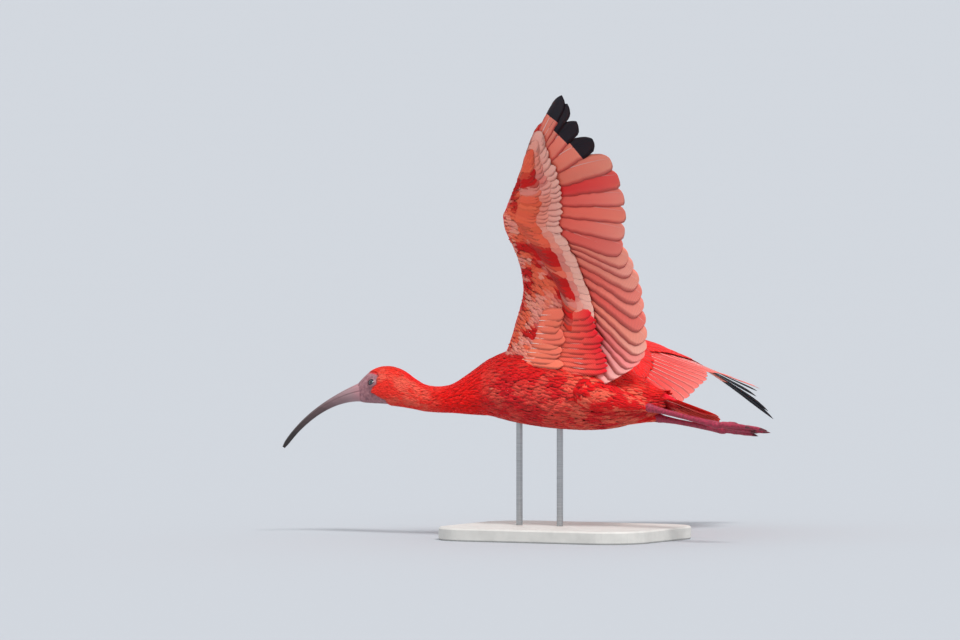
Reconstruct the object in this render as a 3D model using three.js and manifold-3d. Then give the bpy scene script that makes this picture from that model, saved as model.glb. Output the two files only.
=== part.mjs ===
// A scarlet ibis in flight, life size, banked on a plain display stand.
// Millimetres, +Z up, origin at the centre of the stand base's underside.
// The bird is modelled level, with x towards the tail, -y to its left and z towards its back, and then banked.
import * as THREE from "three";
import { mergeVertices } from "three/addons/utils/BufferGeometryUtils.js";
import Module from "manifold-3d";

const wasm = await Module();
wasm.setup();

// Driving sizes of the pose and the stand, angles in degrees
const BANK = 35; // left wing up
const HEAD_LEVELLED = 17; // what the head keeps back from the bank
const AXIS_HEIGHT = 190; // the shoulder's centre above the floor
const AXIS_AHEAD = -35; // the shoulder's centre ahead of the base's centre
const GAP = 0.3; // between nodes that meet
const BASE = { length: 280, width: 220, thick: 16, corner: 50, edge: 2 };
const ROD = { radius: 4, front: -28, rear: 28, sides: 16 }; // front and rear from the shoulder, along the body

// Colours of the sub-parts
const COLOURS = {
  scarlet: ["#d8241c", 0.75],
  coral: ["#e8705f", 0.7],
  bill: ["#5d4a4c", 0.45],
  leg: ["#8f3b54", 0.55],
  eye: ["#14181f", 0.1],
  base: ["#d9d6cf", 0.5],
  steel: ["#9b9ea1", 0.35],
};

const rad = THREE.MathUtils.degToRad;
const smooth = THREE.MathUtils.smoothstep;
const v2 = (x, y) => new THREE.Vector2(x, y);
const v3 = (x, y, z) => new THREE.Vector3(x, y, z);
const mix = (p, q, t) => p.clone().lerp(q, t);

// A smooth curve through rows of [x, value, value, ...], read at any x between the first and the last
function profile(rows) {
  const slope = (i, k) => {
    const p = rows[Math.max(i - 1, 0)];
    const q = rows[Math.min(i + 1, rows.length - 1)];
    return (q[k] - p[k]) / (q[0] - p[0]);
  };
  return (x) => {
    const at = Math.min(Math.max(x, rows[0][0]), rows.at(-1)[0]);
    let i = 0;
    while (i < rows.length - 2 && at > rows[i + 1][0]) i++;
    const [p, q] = [rows[i], rows[i + 1]];
    const span = q[0] - p[0];
    const t = (at - p[0]) / span;
    const hermite = (k) =>
      (2 * t ** 3 - 3 * t ** 2 + 1) * p[k] +
      (t ** 3 - 2 * t ** 2 + t) * span * slope(i, k) +
      (3 * t ** 2 - 2 * t ** 3) * q[k] +
      (t ** 3 - t ** 2) * span * slope(i + 1, k);
    return p.slice(1).map((_, k) => hermite(k + 1));
  };
}

// A closed solid from points and triangles, turned to face out
function solid(points, triangles) {
  let volume = 0;
  for (let i = 0; i < triangles.length; i += 3) {
    const [a, b, c] = [0, 1, 2].map((k) => points[triangles[i + k]]);
    volume += a.dot(b.clone().cross(c));
  }
  if (volume < 0) triangles.reverse();
  const mesh = new wasm.Mesh({
    numProp: 3,
    vertProperties: new Float32Array(points.flatMap((p) => p.toArray())),
    triVerts: new Uint32Array(triangles),
  });
  return new wasm.Manifold(mesh);
}

// A solid through rings of points, closed at each end by a fan round its middle
function loft(rings) {
  const n = rings[0].length;
  const points = rings.flat();
  const triangles = [];
  for (let i = 0; i < rings.length - 1; i++) {
    for (let j = 0; j < n; j++) {
      const [a, b] = [i * n + j, i * n + ((j + 1) % n)];
      triangles.push(a, b, b + n, a, b + n, a + n);
    }
  }
  [0, rings.length - 1].forEach((end) => {
    const middle = points.length;
    const sum = rings[end].reduce((s, p) => s.add(p), v3(0, 0, 0));
    points.push(sum.divideScalar(n));
    for (let j = 0; j < n; j++) {
      const [a, b] = [end * n + j, end * n + ((j + 1) % n)];
      triangles.push(...(end ? [a, b, middle] : [b, a, middle]));
    }
  });
  return solid(points, triangles);
}

// The largest closed surface of a solid
function largest(made) {
  return made.decompose().reduce((a, b) => (a.volume() > b.volume() ? a : b));
}

const fuse = (solids) => wasm.Manifold.union(solids);

// A solid from a three.js geometry
function fromGeometry(geometry) {
  const bare = geometry.clone();
  bare.deleteAttribute("normal");
  bare.deleteAttribute("uv");
  const merged = mergeVertices(bare, 1e-4);
  const position = merged.getAttribute("position");
  const points = [];
  for (let i = 0; i < position.count; i++) points.push(v3().fromBufferAttribute(position, i));
  return solid(points, Array.from(merged.index.array));
}

function toGeometry(made) {
  const mesh = made.getMesh();
  const geometry = new THREE.BufferGeometry();
  geometry.setAttribute("position", new THREE.BufferAttribute(mesh.vertProperties, 3));
  geometry.setIndex(new THREE.BufferAttribute(mesh.triVerts, 1));
  geometry.computeVertexNormals();
  return geometry;
}

// Turns a point about the body's long axis, as the head is turned against the bank
function levelled(point, share) {
  return point.applyAxisAngle(v3(1, 0, 0), rad(HEAD_LEVELLED) * share);
}

// Body: stations of [x, middle height, half width, half height] from the face to the vent
const bodyAt = profile([
  [-251, -12, 6, 10],
  [-244, -10.5, 10.5, 16],
  [-234, -6.5, 14, 21],
  [-220, -4.4, 18, 24],
  [-205, -5, 19.5, 24.6],
  [-190, -8, 19, 23],
  [-172, -14.5, 17.5, 19],
  [-155, -20, 16.5, 16.6],
  [-132, -22.5, 16.5, 16.3],
  [-112, -21, 19, 18.5],
  [-90, -14, 27, 26],
  [-66, -4, 35, 36],
  [-35, -0.5, 43, 46],
  [5, -1.5, 47, 51],
  [45, -4, 46, 52],
  [85, -10, 40, 47],
  [118, -15, 33, 38],
  [148, -17, 24, 25],
  [172, -20, 16, 14],
]);
const FACE = -251;
const VENT = 172;
const CUTS = { head: -186, neck: -128, breast: -72 };

function bodyRing(x, sides, grown) {
  const [middle, width, height] = bodyAt(x);
  const turn = 1 - smooth(x, -190, -95);
  return Array.from({ length: sides }, (_, k) => {
    const angle = (2 * Math.PI * k) / sides;
    const y = (width + grown) * Math.sin(angle);
    const z = middle + (height + grown) * Math.cos(angle);
    return levelled(v3(x, y, z), turn);
  });
}

function bodySolid(grown) {
  const stations = [FACE, -248, -243, -237, -229, -220, -208, -196, -184, -172, -158, -143, -128, -113];
  stations.push(-98, -84, -68, -50, -30, -8, 16, 42, 68, 94, 118, 138, 156, VENT);
  return loft(stations.map((x) => bodyRing(x, 22, grown)));
}

// A slab of the body between two cuts across it
function between(made, low, high) {
  return made
    .splitByPlane([1, 0, 0], low)[0]
    .splitByPlane([-1, 0, 0], -high)[0];
}

// Bill: an arc that turns down from the face to the tip, in the head's own level frame.
// Rows of [share, half width, half height]
const BILL = { start: v2(-243, -13), length: 129, heading: 11, turn: 51, steps: 12, sides: 12 };
const billAt = profile([
  [0, 10, 13],
  [0.12, 8.2, 9.6],
  [0.3, 6, 6.3],
  [0.5, 4.4, 4.6],
  [0.75, 3.3, 3.7],
  [0.94, 2.7, 3.1],
  [1, 1.5, 1.8],
]);

// The middle of the bill at a share of its length, and the way it is heading there
function billSpine(share) {
  const at = BILL.start.clone();
  const steps = 60;
  let heading = rad(BILL.heading);
  for (let i = 0; i < steps; i++) {
    heading = rad(BILL.heading + (BILL.turn * share * (i + 0.5)) / steps);
    const step = (BILL.length * share) / steps;
    at.x -= Math.cos(heading) * step;
    at.y -= Math.sin(heading) * step;
  }
  return { at, heading: rad(BILL.heading + BILL.turn * share) };
}

// A point of the bill's skin: across to the bird's right, up from the bill's middle line
function billPoint(share, across, up) {
  const { at, heading } = billSpine(share);
  return levelled(v3(at.x - Math.sin(heading) * up, across, at.y + Math.cos(heading) * up), 1);
}

function billSolid() {
  const shares = Array.from({ length: BILL.steps + 1 }, (_, i) => i / BILL.steps);
  return loft(
    shares.map((share) => {
      const [width, height] = billAt(share);
      return Array.from({ length: BILL.sides }, (_, k) => {
        const angle = (2 * Math.PI * k) / BILL.sides;
        return billPoint(share, width * Math.sin(angle), height * Math.cos(angle));
      });
    }),
  );
}

// A nostril: a slit let into the side of the upper bill near its base
const NOSTRIL = { from: 0.075, to: 0.15, up: 0.5, half: 0.55, deep: 1.6 };

function nostrilCut(side) {
  const rings = [0, 0.5, 1].map((t) => {
    const share = NOSTRIL.from + (NOSTRIL.to - NOSTRIL.from) * t;
    const [width, height] = billAt(share);
    const half = NOSTRIL.half * (0.45 + 2.2 * t * (1 - t));
    const inner = side * (width * 0.86 - NOSTRIL.deep);
    const outer = side * (width + 2);
    const level = height * NOSTRIL.up;
    return [
      [inner, level + half],
      [outer, level + half],
      [outer, level - half],
      [inner, level - half],
    ].map(([across, up]) => billPoint(share, across, up));
  });
  return loft(rings);
}

// A thin curved wedge along the line of the mouth, below the bill's middle by a share of its half height
const MOUTH_DROP = 0.16;

function mouthCut() {
  const shares = Array.from({ length: 13 }, (_, i) => -0.06 + (i * 1.1) / 12);
  return loft(
    shares.map((share) => {
      const drop = -MOUTH_DROP * billAt(share)[1];
      return [
        [-20, GAP / 2],
        [20, GAP / 2],
        [20, -GAP / 2],
        [-20, -GAP / 2],
      ].map(([across, up]) => billPoint(share, across, up + drop));
    }),
  );
}

// Eye: a ball set in the side of the face, inside a ring of lid
const EYE = { x: -225, across: 13.6, z: -5.5, radius: 5, lid: 5.1, rim: 1.5 };

function eyeMiddle(side) {
  return levelled(v3(EYE.x, -side * EYE.across, EYE.z), 1);
}

// The way that an eye looks: out, a little ahead
function eyeTurn(side) {
  const look = levelled(v3(-0.22, -side, 0.06).normalize(), 1);
  return new THREE.Quaternion().setFromUnitVectors(v3(0, 0, 1), look);
}

function ball(middle, radius, rows = 9) {
  const geometry = new THREE.SphereGeometry(radius, rows * 2, rows);
  return fromGeometry(geometry.translate(middle.x, middle.y, middle.z));
}

function lid(side) {
  const ring = new THREE.TorusGeometry(EYE.lid, EYE.rim, 5, 16);
  ring.translate(0, 0, 1.6).applyQuaternion(eyeTurn(side));
  const middle = eyeMiddle(side);
  return fromGeometry(ring.translate(middle.x, middle.y, middle.z));
}

// Wing surface: a flat plan of [span, chord] bent up at the arm and out again at the wrist
const SHOULDER = { out: 35, up: 18 };
const DIHEDRAL = { root: 80, arm: 52, hand: 30, tip: 0 };
const PITCH = { root: 7, hand: 16 };
const CAMBER = { height: 5, at: 35, reach: 60, drop: 2 };
const HAND_END = v2(229, -3);
const INNERMOST = -60;
const OUTERMOST = 440;

function dihedral(span) {
  const { root, arm, hand, tip } = DIHEDRAL;
  const inner = (root - arm) * (1 - smooth(span, -30, 30));
  const middle = (hand - arm) * smooth(span, 120, 230);
  return rad(arm + inner + middle + (tip - hand) * smooth(span, 200, 420));
}

// The wing's line in front view, as [out, up] at each millimetre of span
const wingLine = new Map([[0, [SHOULDER.out, SHOULDER.up]]]);
for (const way of [1, -1]) {
  let [out, up] = wingLine.get(0);
  for (let span = way; span >= INNERMOST && span <= OUTERMOST; span += way) {
    const slope = dihedral(span - way / 2);
    out += way * Math.cos(slope);
    up += way * Math.sin(slope);
    wingLine.set(span, [out, up]);
  }
}

// A point of a wing: along the span, back along the chord and up from its surface; side 1 is the left wing
function wingPoint(side, span, chord, rise) {
  const low = Math.floor(Math.min(Math.max(span, INNERMOST), OUTERMOST - 1));
  const [p, q] = [wingLine.get(low), wingLine.get(low + 1)];
  const [out, up] = [0, 1].map((k) => p[k] + (q[k] - p[k]) * (span - low));
  const slope = dihedral(span);
  const pitch = rad(PITCH.root + (PITCH.hand - PITCH.root) * smooth(span, 60, 260));
  const arch = rise + CAMBER.height * Math.exp(-(((chord - CAMBER.at) / CAMBER.reach) ** 2)) - CAMBER.drop;
  const back = chord * Math.cos(pitch) + arch * Math.sin(pitch);
  const lift = arch * Math.cos(pitch) - chord * Math.sin(pitch);
  return v3(back, -side * (out - lift * Math.sin(slope)), up + lift * Math.cos(slope));
}

// Vanes: thin closed plates, narrow at the quill, that lie shingled by their tilt
const FLIGHT = { at: [0, 0.22, 0.5, 0.84, 0.95, 1], width: [0.16, 0.62, 0.92, 1, 0.72, 0.24] };
const COVERT = { at: [0, 0.35, 0.8, 1], width: [0.35, 0.9, 1, 0.35] };
const VANE_THICK = 0.8;

function vane(surface, feather, grown = 0) {
  const { root, tip, lead, trail, bow = 0, rise = 0, tilt = 0.1, shape = FLIGHT } = feather;
  const along = tip.clone().sub(root);
  const length = along.length();
  along.normalize();
  const ahead = v2(along.y, -along.x);
  const points = [];
  shape.at.forEach((t, i) => {
    const middle = root.clone().addScaledVector(along, length * t);
    middle.addScaledVector(ahead, 4 * bow * t * (1 - t) * length);
    middle.addScaledVector(along, t * grown);
    const level = rise * (0.8 + 0.2 * Math.min(1, t / 0.3));
    const lean = tilt * (2 - Math.min(1, t / 0.5));
    for (const face of [1, -1]) {
      for (const reach of [lead * shape.width[i] + grown, -trail * shape.width[i] - grown]) {
        const p = middle.clone().addScaledVector(ahead, reach);
        points.push(surface(p.x, p.y, level + lean * reach + face * (VANE_THICK / 2 + grown)));
      }
    }
  });
  const triangles = [];
  const quad = (a, b, c, d) => triangles.push(a, b, c, a, c, d);
  for (let i = 0; i < shape.at.length - 1; i++) {
    const [p, q] = [4 * i, 4 * i + 4];
    quad(p, p + 1, q + 1, q); // upper face
    triangles.push(p + 2, q + 3, p + 3, p + 2, q + 2, q + 3); // lower face, split alike
    quad(p + 1, p + 3, q + 3, q + 1);
    quad(p + 2, p, q, q + 2);
  }
  const end = 4 * (shape.at.length - 1);
  quad(1, 0, 2, 3);
  quad(end, end + 1, end + 3, end + 2);
  return solid(points, triangles);
}

// Tips of the primaries from the innermost to the outermost, in the flat plan
const PRIMARY_TIPS = [
  v2(147, 143),
  v2(172, 151),
  v2(203, 160),
  v2(235, 166),
  v2(265, 166),
  v2(293, 161),
  v2(325, 143),
  v2(356, 129),
  v2(396, 131),
  v2(415, 131),
];
const SECONDARIES = 11;
const secondaryTip = new THREE.SplineCurve([
  v2(131, 149),
  v2(101, 161),
  v2(67, 165),
  v2(30, 168),
  v2(0, 164),
  v2(-18, 150),
  v2(-30, 128),
]);
const secondaryRoot = new THREE.SplineCurve([
  v2(170, -26),
  v2(152, -10),
  v2(132, 7),
  v2(110, 25),
  v2(88, 40),
  v2(58, 42),
]);

function primaries() {
  return PRIMARY_TIPS.map((tip, i) => {
    const share = i / (PRIMARY_TIPS.length - 1);
    const root = mix(v2(176, -30), HAND_END, share);
    const wide = 1 - 0.45 * smooth(share, 0.55, 1);
    return { root, tip, lead: 10 * wide, trail: 20 * wide, bow: 0.035 * (1 - share) - 0.004 };
  });
}

function secondaries() {
  return Array.from({ length: SECONDARIES }, (_, i) => {
    const share = i / (SECONDARIES - 1);
    return {
      root: secondaryRoot.getPoint(share),
      tip: secondaryTip.getPoint(share),
      lead: 9,
      trail: 16,
      bow: 0.05,
    };
  });
}

// A covert over or under each flight feather, out to a share of its length
function covert(feather, { share, rise }) {
  const tip = mix(feather.root, feather.tip, share);
  const root = mix(feather.root, feather.tip, 0.06);
  return { root, tip, lead: 7, trail: 10, bow: feather.bow, rise, shape: COVERT };
}
const UPPER = { share: 0.5, rise: 3.4 };
const UNDER = { share: 0.42, rise: -3.4 };

// The wing's flesh and the web of skin ahead of it: [span, leading edge, rear edge, half thickness]
const armAt = profile([
  [-45, -78, 45, 13],
  [-20, -62, 62, 15],
  [5, -43, 68, 14],
  [40, -29, 66, 11],
  [84, -16, 60, 8.5],
  [125, -24, 34, 7],
  [158, -41, 8, 6.5],
  [176, -43, -4, 6],
]);
const handAt = profile([
  [174, -43, -4, 6],
  [200, -27, 2, 5.5],
  [226, -10, 12, 4.5],
  [252, 7, 24, 3.2],
  [280, 26, 36, 2],
]);
const ARM_SPANS = [-45, -15, 15, 45, 75, 105, 135, 158, 175];
const HAND_SPANS = [175.3, 195, 218, 245, 280];
const SKIN = [
  [0, 0],
  [0.08, 0.55],
  [0.3, 1],
  [0.62, 0.95],
  [1, 0.6],
];

function wingRing(side, span, at, grown) {
  const [front, rear, thick] = at(span);
  const upper = SKIN.map(([c, n]) => [c, n]);
  const lower = SKIN.slice(1).map(([c, n]) => [c, -n]).reverse();
  return [...upper, ...lower].map(([c, n]) =>
    wingPoint(side, span, front - grown + (rear - front + 2 * grown) * c, (thick + grown) * n),
  );
}

function wingFlesh(side, at, spans, grown) {
  return loft(spans.map((span) => wingRing(side, span, at, grown)));
}

// Long feathers of the armpit, laid under the wing's root
const AXILLARIES = 5;
function axillaries() {
  return Array.from({ length: AXILLARIES }, (_, i) => {
    const share = i / (AXILLARIES - 1);
    return {
      root: v2(8 + 34 * share, 8 + 8 * share),
      tip: v2(-12 + 62 * share, 100 - 10 * share),
      lead: 9,
      trail: 10,
      rise: -8.5,
      shape: COVERT,
    };
  });
}

// Alula: three short stiff feathers on the wrist's leading edge
function alula() {
  return Array.from({ length: 3 }, (_, i) => ({
    root: v2(184 + 3 * i, -26 + 3 * i),
    tip: v2(218 + 9 * i, 6 + 5 * i),
    lead: 3.5,
    trail: 6,
    rise: 6.2 - 1.3 * i,
    shape: COVERT,
  }));
}

function innerWing(side) {
  const surface = (span, chord, rise) => wingPoint(side, span, chord, rise);
  const flights = secondaries();
  const feathers = [
    ...flights,
    ...flights.map((f) => covert(f, UPPER)),
    ...flights.slice(0, -3).map((f) => covert(f, UNDER)),
    ...axillaries(),
  ];
  const flesh = wingFlesh(side, armAt, ARM_SPANS, 0);
  const made = fuse([flesh, ...feathers.map((f) => vane(surface, f))]);
  return largest(made.subtract(outerWing(side, GAP)));
}

// The hand and its feathers; grown, it is the room that the arm's feathers leave for it
function outerWing(side, grown = 0) {
  const surface = (span, chord, rise) => wingPoint(side, span, chord, rise);
  const flights = primaries();
  const feathers = [
    ...flights,
    ...flights.map((f) => covert(f, { ...UPPER, share: 0.4 })),
    ...flights.slice(0, -2).map((f) => covert(f, { ...UNDER, share: 0.34 })),
    ...alula(),
  ];
  const spans = [HAND_SPANS[0] - grown, ...HAND_SPANS.slice(1)];
  const flesh = wingFlesh(side, handAt, spans, grown);
  const made = fuse([flesh, ...feathers.map((f) => vane(surface, f, grown))]);
  const arm = wingFlesh(side, armAt, ARM_SPANS, GAP + grown);
  return grown ? made : largest(made.subtract(arm));
}

// Tail: a closed fan of twelve feathers on a short root, sloping down behind the rump
const TAIL = { root: v3(150, 0, -4), slope: 19, feathers: 6, length: 116, spread: 15, width: 12 };

// A point of the tail: back along it, across to the bird's left and up from its surface
function tailPoint(back, across, rise) {
  const lift = rise - 0.012 * across * across;
  const slope = rad(TAIL.slope);
  return v3(
    TAIL.root.x + back * Math.cos(slope) + lift * Math.sin(slope),
    -across,
    TAIL.root.z - back * Math.sin(slope) + lift * Math.cos(slope),
  );
}

function tailSolid() {
  const parts = [];
  for (const side of [1, -1]) {
    const surface = (across, back, rise) => tailPoint(back, side * across, rise);
    for (let i = 0; i < TAIL.feathers; i++) {
      const share = (i + 0.5) / TAIL.feathers;
      const feather = {
        root: v2(2 + 7 * share, -10),
        tip: v2(2 + TAIL.spread * share, TAIL.length - 9 * share),
        lead: TAIL.width * 0.45,
        trail: TAIL.width * 0.5,
        tilt: 0,
        rise: -1.25 * i,
      };
      parts.push(vane(surface, feather));
      if (i % 2 === 0) {
        const over = { tip: v2(2 + 12 * share, 52 - 8 * share), lead: 7, trail: 6, shape: COVERT };
        parts.push(vane(surface, { ...feather, ...over, rise: 5.2 - i }));
      }
    }
  }
  const root = profile([
    [-30, 21, 14],
    [0, 19, 11],
    [22, 15.5, 7.5],
    [44, 12, 4],
    [58, 8, 2],
  ]);
  const rings = [-30, -15, 0, 12, 24, 36, 48, 58].map((back) => {
    const [width, thick] = root(back);
    return Array.from({ length: 16 }, (_, k) => {
      const angle = (2 * Math.PI * k) / 16;
      return tailPoint(back, width * Math.sin(angle), thick * Math.cos(angle) - 3.5);
    });
  });
  return fuse([loft(rings), ...parts]);
}

// Legs: a feathered thigh and shin, a bare shank and a foot trailed under the tail
const LEGS = {
  left: { hip: v3(62, -31, -22), heel: v3(167, -18, -40), ankle: v3(262, -14, -60) },
  right: { hip: v3(62, 24, -13), heel: v3(167, 14, -35), ankle: v3(262, 5, -56) },
};
const TOES = [
  { length: 56, out: 6, drop: 6 },
  { length: 76, out: 0.5, drop: 11 },
  { length: 60, out: -6, drop: 7 },
];
const HALLUX = { length: 34, out: -2, rise: 11 };

// A limb of round rings along a path, wider across than deep by a share
function limb(path, radii, sides, deep = 1) {
  const rings = path.map((p, i) => {
    const ahead = path[Math.min(i + 1, path.length - 1)].clone().sub(path[Math.max(i - 1, 0)]).normalize();
    const across = v3(0, 1, 0).addScaledVector(ahead, -ahead.y).normalize();
    const up = across.clone().cross(ahead).normalize();
    return Array.from({ length: sides }, (_, k) => {
      const angle = (2 * Math.PI * k) / sides;
      return p
        .clone()
        .addScaledVector(across, radii[i] * Math.sin(angle))
        .addScaledVector(up, radii[i] * deep * Math.cos(angle));
    });
  });
  return loft(rings);
}

function shin({ hip, heel }) {
  const path = [0, 0.18, 0.4, 0.62, 0.82, 0.96].map((t) => mix(hip, heel, t));
  return limb(path, [17, 22, 19, 13, 8, 5.2], 14, 1.15);
}

function shank({ heel, ankle }) {
  const path = [-0.03, 0.03, 0.1, 0.3, 0.6, 0.88, 0.97].map((t) => mix(heel, ankle, t));
  return limb(path, [4.8, 5.6, 4.4, 3.3, 3.2, 3.8, 4.2], 10);
}

function toe(start, end, thick) {
  const shares = [0, 0.3, 0.55, 0.8, 0.86, 0.94, 1];
  const radii = [1, 0.82, 0.86, 0.66, 0.5, 0.34, 0.12].map((r) => r * thick);
  const path = shares.map((t) => mix(start, end, t).add(v3(0, 0, -1.6 * Math.max(0, t - 0.8) * 5)));
  return limb(path, radii, 6);
}

function foot({ heel, ankle }) {
  const start = mix(heel, ankle, 0.99);
  const along = ankle.clone().sub(heel).normalize();
  const forward = (length) => start.clone().addScaledVector(along, length);
  const outward = Math.sign(ankle.y);
  const toes = TOES.map(({ length, out, drop }) => toe(start, forward(length).add(v3(0, outward * out, drop)), 3.5));
  const back = forward(HALLUX.length).add(v3(0, outward * HALLUX.out, HALLUX.rise));
  const pad = limb([0, 5, 10].map(forward), [4.2, 4.8, 3.2], 10);
  return fuse([pad, ...toes, toe(start, back, 3)]);
}

// Stand: a flat base with rounded corners, and two rods up to the belly
function baseSolid() {
  const { length, width, thick, corner, edge } = BASE;
  const outline = new THREE.Shape();
  const [x, y, r] = [length / 2 - edge, width / 2 - edge, corner];
  outline.moveTo(x - r, -y);
  outline.absarc(x - r, -y + r, r, -Math.PI / 2, 0);
  outline.absarc(x - r, y - r, r, 0, Math.PI / 2);
  outline.absarc(-x + r, y - r, r, Math.PI / 2, Math.PI);
  outline.absarc(-x + r, -y + r, r, Math.PI, 1.5 * Math.PI);
  const geometry = new THREE.ExtrudeGeometry(outline, {
    depth: thick - 2 * edge,
    curveSegments: 5,
    bevelSize: edge,
    bevelThickness: edge,
    bevelSegments: 1,
  });
  return fromGeometry(geometry.translate(0, 0, edge));
}

function rodSolid(x, body) {
  const height = AXIS_HEIGHT - BASE.thick;
  const rod = new THREE.CylinderGeometry(ROD.radius, ROD.radius, height, ROD.sides);
  rod.rotateX(Math.PI / 2).translate(x + AXIS_AHEAD, 0, BASE.thick + GAP + height / 2);
  const pieces = fromGeometry(rod).subtract(body).decompose();
  return pieces.reduce((a, b) => (a.boundingBox().min[2] < b.boundingBox().min[2] ? a : b));
}

// Assembly
const model = new THREE.Group();
const bird = new THREE.Group();
bird.rotation.x = -rad(BANK);
bird.position.set(AXIS_AHEAD, 0, AXIS_HEIGHT);
model.add(bird);

function add(group, name, made, finish) {
  const [color, roughness] = COLOURS[finish];
  const metalness = finish === "steel" ? 0.9 : 0;
  const material = new THREE.MeshStandardMaterial({ color, roughness, metalness });
  const mesh = new THREE.Mesh(toGeometry(largest(made)), material);
  mesh.name = name;
  group.add(mesh);
}

const body = bodySolid(0);
const bodyGrown = bodySolid(GAP);
const bill = billSolid().subtract(fuse([nostrilCut(1), nostrilCut(-1)]));
const eyeBalls = [1, -1].map((side) => ball(eyeMiddle(side), EYE.radius));
const sockets = [1, -1].map((side) => ball(eyeMiddle(side), EYE.radius + GAP));

const mouth = mouthCut();
const [upperBill, lowerBill] = bill.subtract(mouth).subtract(between(bodyGrown, FACE, CUTS.head)).decompose()
  .sort((a, b) => b.boundingBox().max[2] - a.boundingBox().max[2]);
add(bird, "bill_upper", upperBill, "bill");
add(bird, "bill_lower", lowerBill, "bill");

const headWhole = fuse([between(body, FACE - 1, CUTS.head), lid(1), lid(-1)]);
add(bird, "head", headWhole.subtract(fuse(sockets)), "scarlet");
add(bird, "eye_left", eyeBalls[0], "eye");
add(bird, "eye_right", eyeBalls[1], "eye");
add(bird, "neck_front", between(body, CUTS.head + GAP, CUTS.neck), "scarlet");
add(bird, "neck_rear", between(body, CUTS.neck + GAP, CUTS.breast), "scarlet");
const torso = between(body, CUTS.breast + GAP, VENT + 1);
add(bird, "torso", torso, "scarlet");

for (const [side, name] of [[1, "left"], [-1, "right"]]) {
  add(bird, `wing_${name}_inner`, innerWing(side).subtract(bodyGrown), "coral");
  add(bird, `wing_${name}_outer`, outerWing(side), "coral");
  add(bird, `leg_${name}_upper`, shin(LEGS[name]).subtract(bodyGrown), "scarlet");
  add(bird, `leg_${name}_lower`, shank(LEGS[name]).subtract(bodyGrown), "leg");
  add(bird, `foot_${name}`, foot(LEGS[name]), "leg");
}
add(bird, "tail", tailSolid().subtract(bodyGrown), "scarlet");

const bodyInPlace = bodyGrown.rotate([-BANK, 0, 0]).translate([AXIS_AHEAD, 0, AXIS_HEIGHT]);
add(model, "stand_base", baseSolid(), "base");
add(model, "stand_rod_front", rodSolid(ROD.front, bodyInPlace), "steel");
add(model, "stand_rod_rear", rodSolid(ROD.rear, bodyInPlace), "steel");

export default model;
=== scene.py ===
"""The scarlet ibis in flight on its display stand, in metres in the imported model's frame."""

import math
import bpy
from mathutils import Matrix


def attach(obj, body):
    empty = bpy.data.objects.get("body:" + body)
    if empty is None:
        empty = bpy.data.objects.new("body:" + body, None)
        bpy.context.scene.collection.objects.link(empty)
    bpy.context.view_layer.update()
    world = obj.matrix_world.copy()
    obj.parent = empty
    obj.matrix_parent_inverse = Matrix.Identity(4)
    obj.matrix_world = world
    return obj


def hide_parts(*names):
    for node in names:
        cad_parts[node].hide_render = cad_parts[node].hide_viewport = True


bl_info = {
    "name": "Scarlet Ibis Museum Model",
    "version": (1, 0, 0),
    "blender": (4, 5, 0),
    "location": "3D View > Sidebar > Ibis",
    "description": "Builds the skin, feathers, bill, eyes, legs, stand and studio of a flying scarlet ibis",
    "category": "Object",
}

import bmesh
import bpy
import numpy as np
from bpy.props import FloatProperty, FloatVectorProperty, PointerProperty
from bpy.types import Operator, Panel, PropertyGroup
from mathutils import Vector

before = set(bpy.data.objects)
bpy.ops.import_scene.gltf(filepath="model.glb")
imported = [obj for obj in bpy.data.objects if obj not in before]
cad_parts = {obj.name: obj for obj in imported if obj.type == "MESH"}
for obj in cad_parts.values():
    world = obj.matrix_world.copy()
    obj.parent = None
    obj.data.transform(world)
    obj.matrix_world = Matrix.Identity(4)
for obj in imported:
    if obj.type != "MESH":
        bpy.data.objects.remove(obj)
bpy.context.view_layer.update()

# The pose and its placing, in degrees and millimetres, as the solids have them
MM = 0.001
BANK = 35.0
HEAD_LEVELLED = 17.0
AXIS_AHEAD = -35.0
AXIS_HEIGHT = 190.0
SIDES = ((1, "left"), (-1, "right"))

# Body stations: x towards the tail, middle height, half width, half height
BODY = [
    (-251, -12, 6, 10), (-244, -10.5, 10.5, 16), (-234, -6.5, 14, 21), (-220, -4.4, 18, 24),
    (-205, -5, 19.5, 24.6), (-190, -8, 19, 23), (-172, -14.5, 17.5, 19), (-155, -20, 16.5, 16.6),
    (-132, -22.5, 16.5, 16.3), (-112, -21, 19, 18.5), (-90, -14, 27, 26), (-66, -4, 35, 36),
    (-35, -0.5, 43, 46), (5, -1.5, 47, 51), (45, -4, 46, 52), (85, -10, 40, 47), (118, -15, 33, 38),
    (148, -17, 24, 25), (172, -20, 16, 14),
]
FACE = -251
VENT = 172

# How far the skin lies inside the body's outline: x, depth
COAT_DEPTH = [
    (-251, 0.2), (-232, 0.4), (-215, 1.2), (-190, 1.8), (-150, 2.2), (-90, 3), (20, 3.6), (172, 3),
]

# Bill: start in the head's level frame, length, heading and turn in degrees
# Its stations: share of the length, half width, half depth
BILL_START = (-243.0, -13.0)
BILL_LENGTH = 129.0
BILL_HEADING = 11.0
BILL_TURN = 51.0
BILL = [
    (0, 10, 13), (0.12, 8.2, 9.6), (0.3, 6, 6.3), (0.5, 4.4, 4.6), (0.75, 3.3, 3.7), (0.94, 2.7, 3.1),
    (1, 1.5, 1.8),
]
MOUTH_DROP = 0.16

# Eye: place in the head's level frame and size
EYE_X = -225.0
EYE_ACROSS = 13.6
EYE_Z = -5.5
EYE_RADIUS = 5.0
EYE_AROUND = 40

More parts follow.
